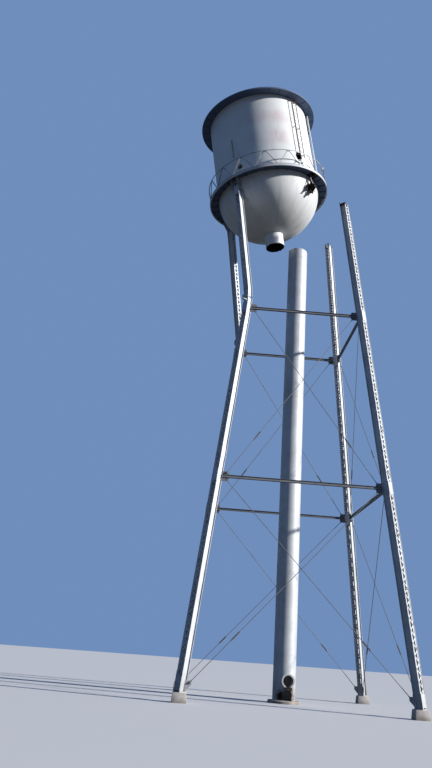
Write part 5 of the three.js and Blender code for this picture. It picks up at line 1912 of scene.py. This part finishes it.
class SetStage(Operator):
    """Sets the camera, the lamps, the backdrop and the floor."""

    bl_idname = "water_tower.stage"
    bl_label = "Studio"

    def execute(self, context):
        scene = context.scene
        eye = bpy.data.cameras.new("tower_camera")
        eye.lens = CAMERA_LENS
        eye.sensor_width = 36
        eye.clip_end = 900
        holder = bpy.data.objects.new("tower_camera", eye)
        scene.collection.objects.link(holder)
        holder.matrix_world = frame_of(CAMERA_RIGHT, CAMERA_UP, -CAMERA_VIEW, CAMERA_PLACE)
        scene.camera = holder
        aimed_light("low_key", (-0.873, 0.290, -0.392), 5.7, math.radians(3), (1.0, 0.98, 0.95))
        world = bpy.data.worlds.new("studio_backdrop")
        world.use_nodes = True
        tree = world.node_tree
        tree.nodes.clear()
        seen = add(tree, "ShaderNodeBackground", {0: (0.16, 0.27, 0.50, 1), 1: 1.0})
        lit = add(tree, "ShaderNodeBackground", {0: (0.27, 0.54, 1.10, 1), 1: 0.24})
        to_camera = add(tree, "ShaderNodeLightPath").outputs["Is Camera Ray"]
        both = add(tree, "ShaderNodeMixShader", {0: to_camera, 1: lit.outputs[0], 2: seen.outputs[0]})
        add(tree, "ShaderNodeOutputWorld", {0: both.outputs[0]})
        scene.world = world
        scene.view_settings.view_transform = "Standard"
        bpy.ops.mesh.primitive_plane_add(size=FLOOR_SIZE)
        ground = context.object
        ground.name = "studio_ground"
        ground.data.materials.append(surface("studio_floor"))
        if scene.camera is None or scene.world is None:
            raise RuntimeError("the stage has no camera or no backdrop")
        return {"FINISHED"}


BUILDERS = (
    BuildFootings,
    BuildLegs,
    BuildStruts,
    BuildBraceRods,
    BuildRiser,
    BuildTank,
    BuildRoof,
    BuildBalcony,
    BuildRailing,
    BuildLegHeads,
    BuildLadder,
    SetStage,
)


class TowerPanel(Panel):
    """Lists the steps that build the tower, in their order."""

    bl_label = "Water Tower"
    bl_idname = "VIEW3D_PT_water_tower"
    bl_space_type = "VIEW_3D"
    bl_region_type = "UI"
    bl_category = "Water Tower"

    def draw(self, context):
        layout = self.layout
        for builder in BUILDERS:
            layout.operator(builder.bl_idname)
        for group in (context.scene.tower_sizes, context.scene.tower_colours):
            for name in group.__annotations__:
                layout.prop(group, name)


CLASSES = (TowerSizes, TowerColours, *BUILDERS, TowerPanel)


def register():
    for entry in CLASSES:
        bpy.utils.register_class(entry)
    bpy.types.Scene.tower_sizes = PointerProperty(type=TowerSizes)
    bpy.types.Scene.tower_colours = PointerProperty(type=TowerColours)


def unregister():
    del bpy.types.Scene.tower_colours
    del bpy.types.Scene.tower_sizes
    for entry in reversed(CLASSES):
        bpy.utils.unregister_class(entry)


def main():
    register()
    bpy.ops.water_tower.footings()
    bpy.ops.water_tower.legs()
    bpy.ops.water_tower.struts()
    bpy.ops.water_tower.brace_rods()
    bpy.ops.water_tower.riser()
    bpy.ops.water_tower.tank()
    bpy.ops.water_tower.roof()
    bpy.ops.water_tower.balcony()
    bpy.ops.water_tower.railing()
    bpy.ops.water_tower.leg_heads()
    bpy.ops.water_tower.ladder()
    bpy.ops.water_tower.stage()


if __name__ == "__main__":
    main()
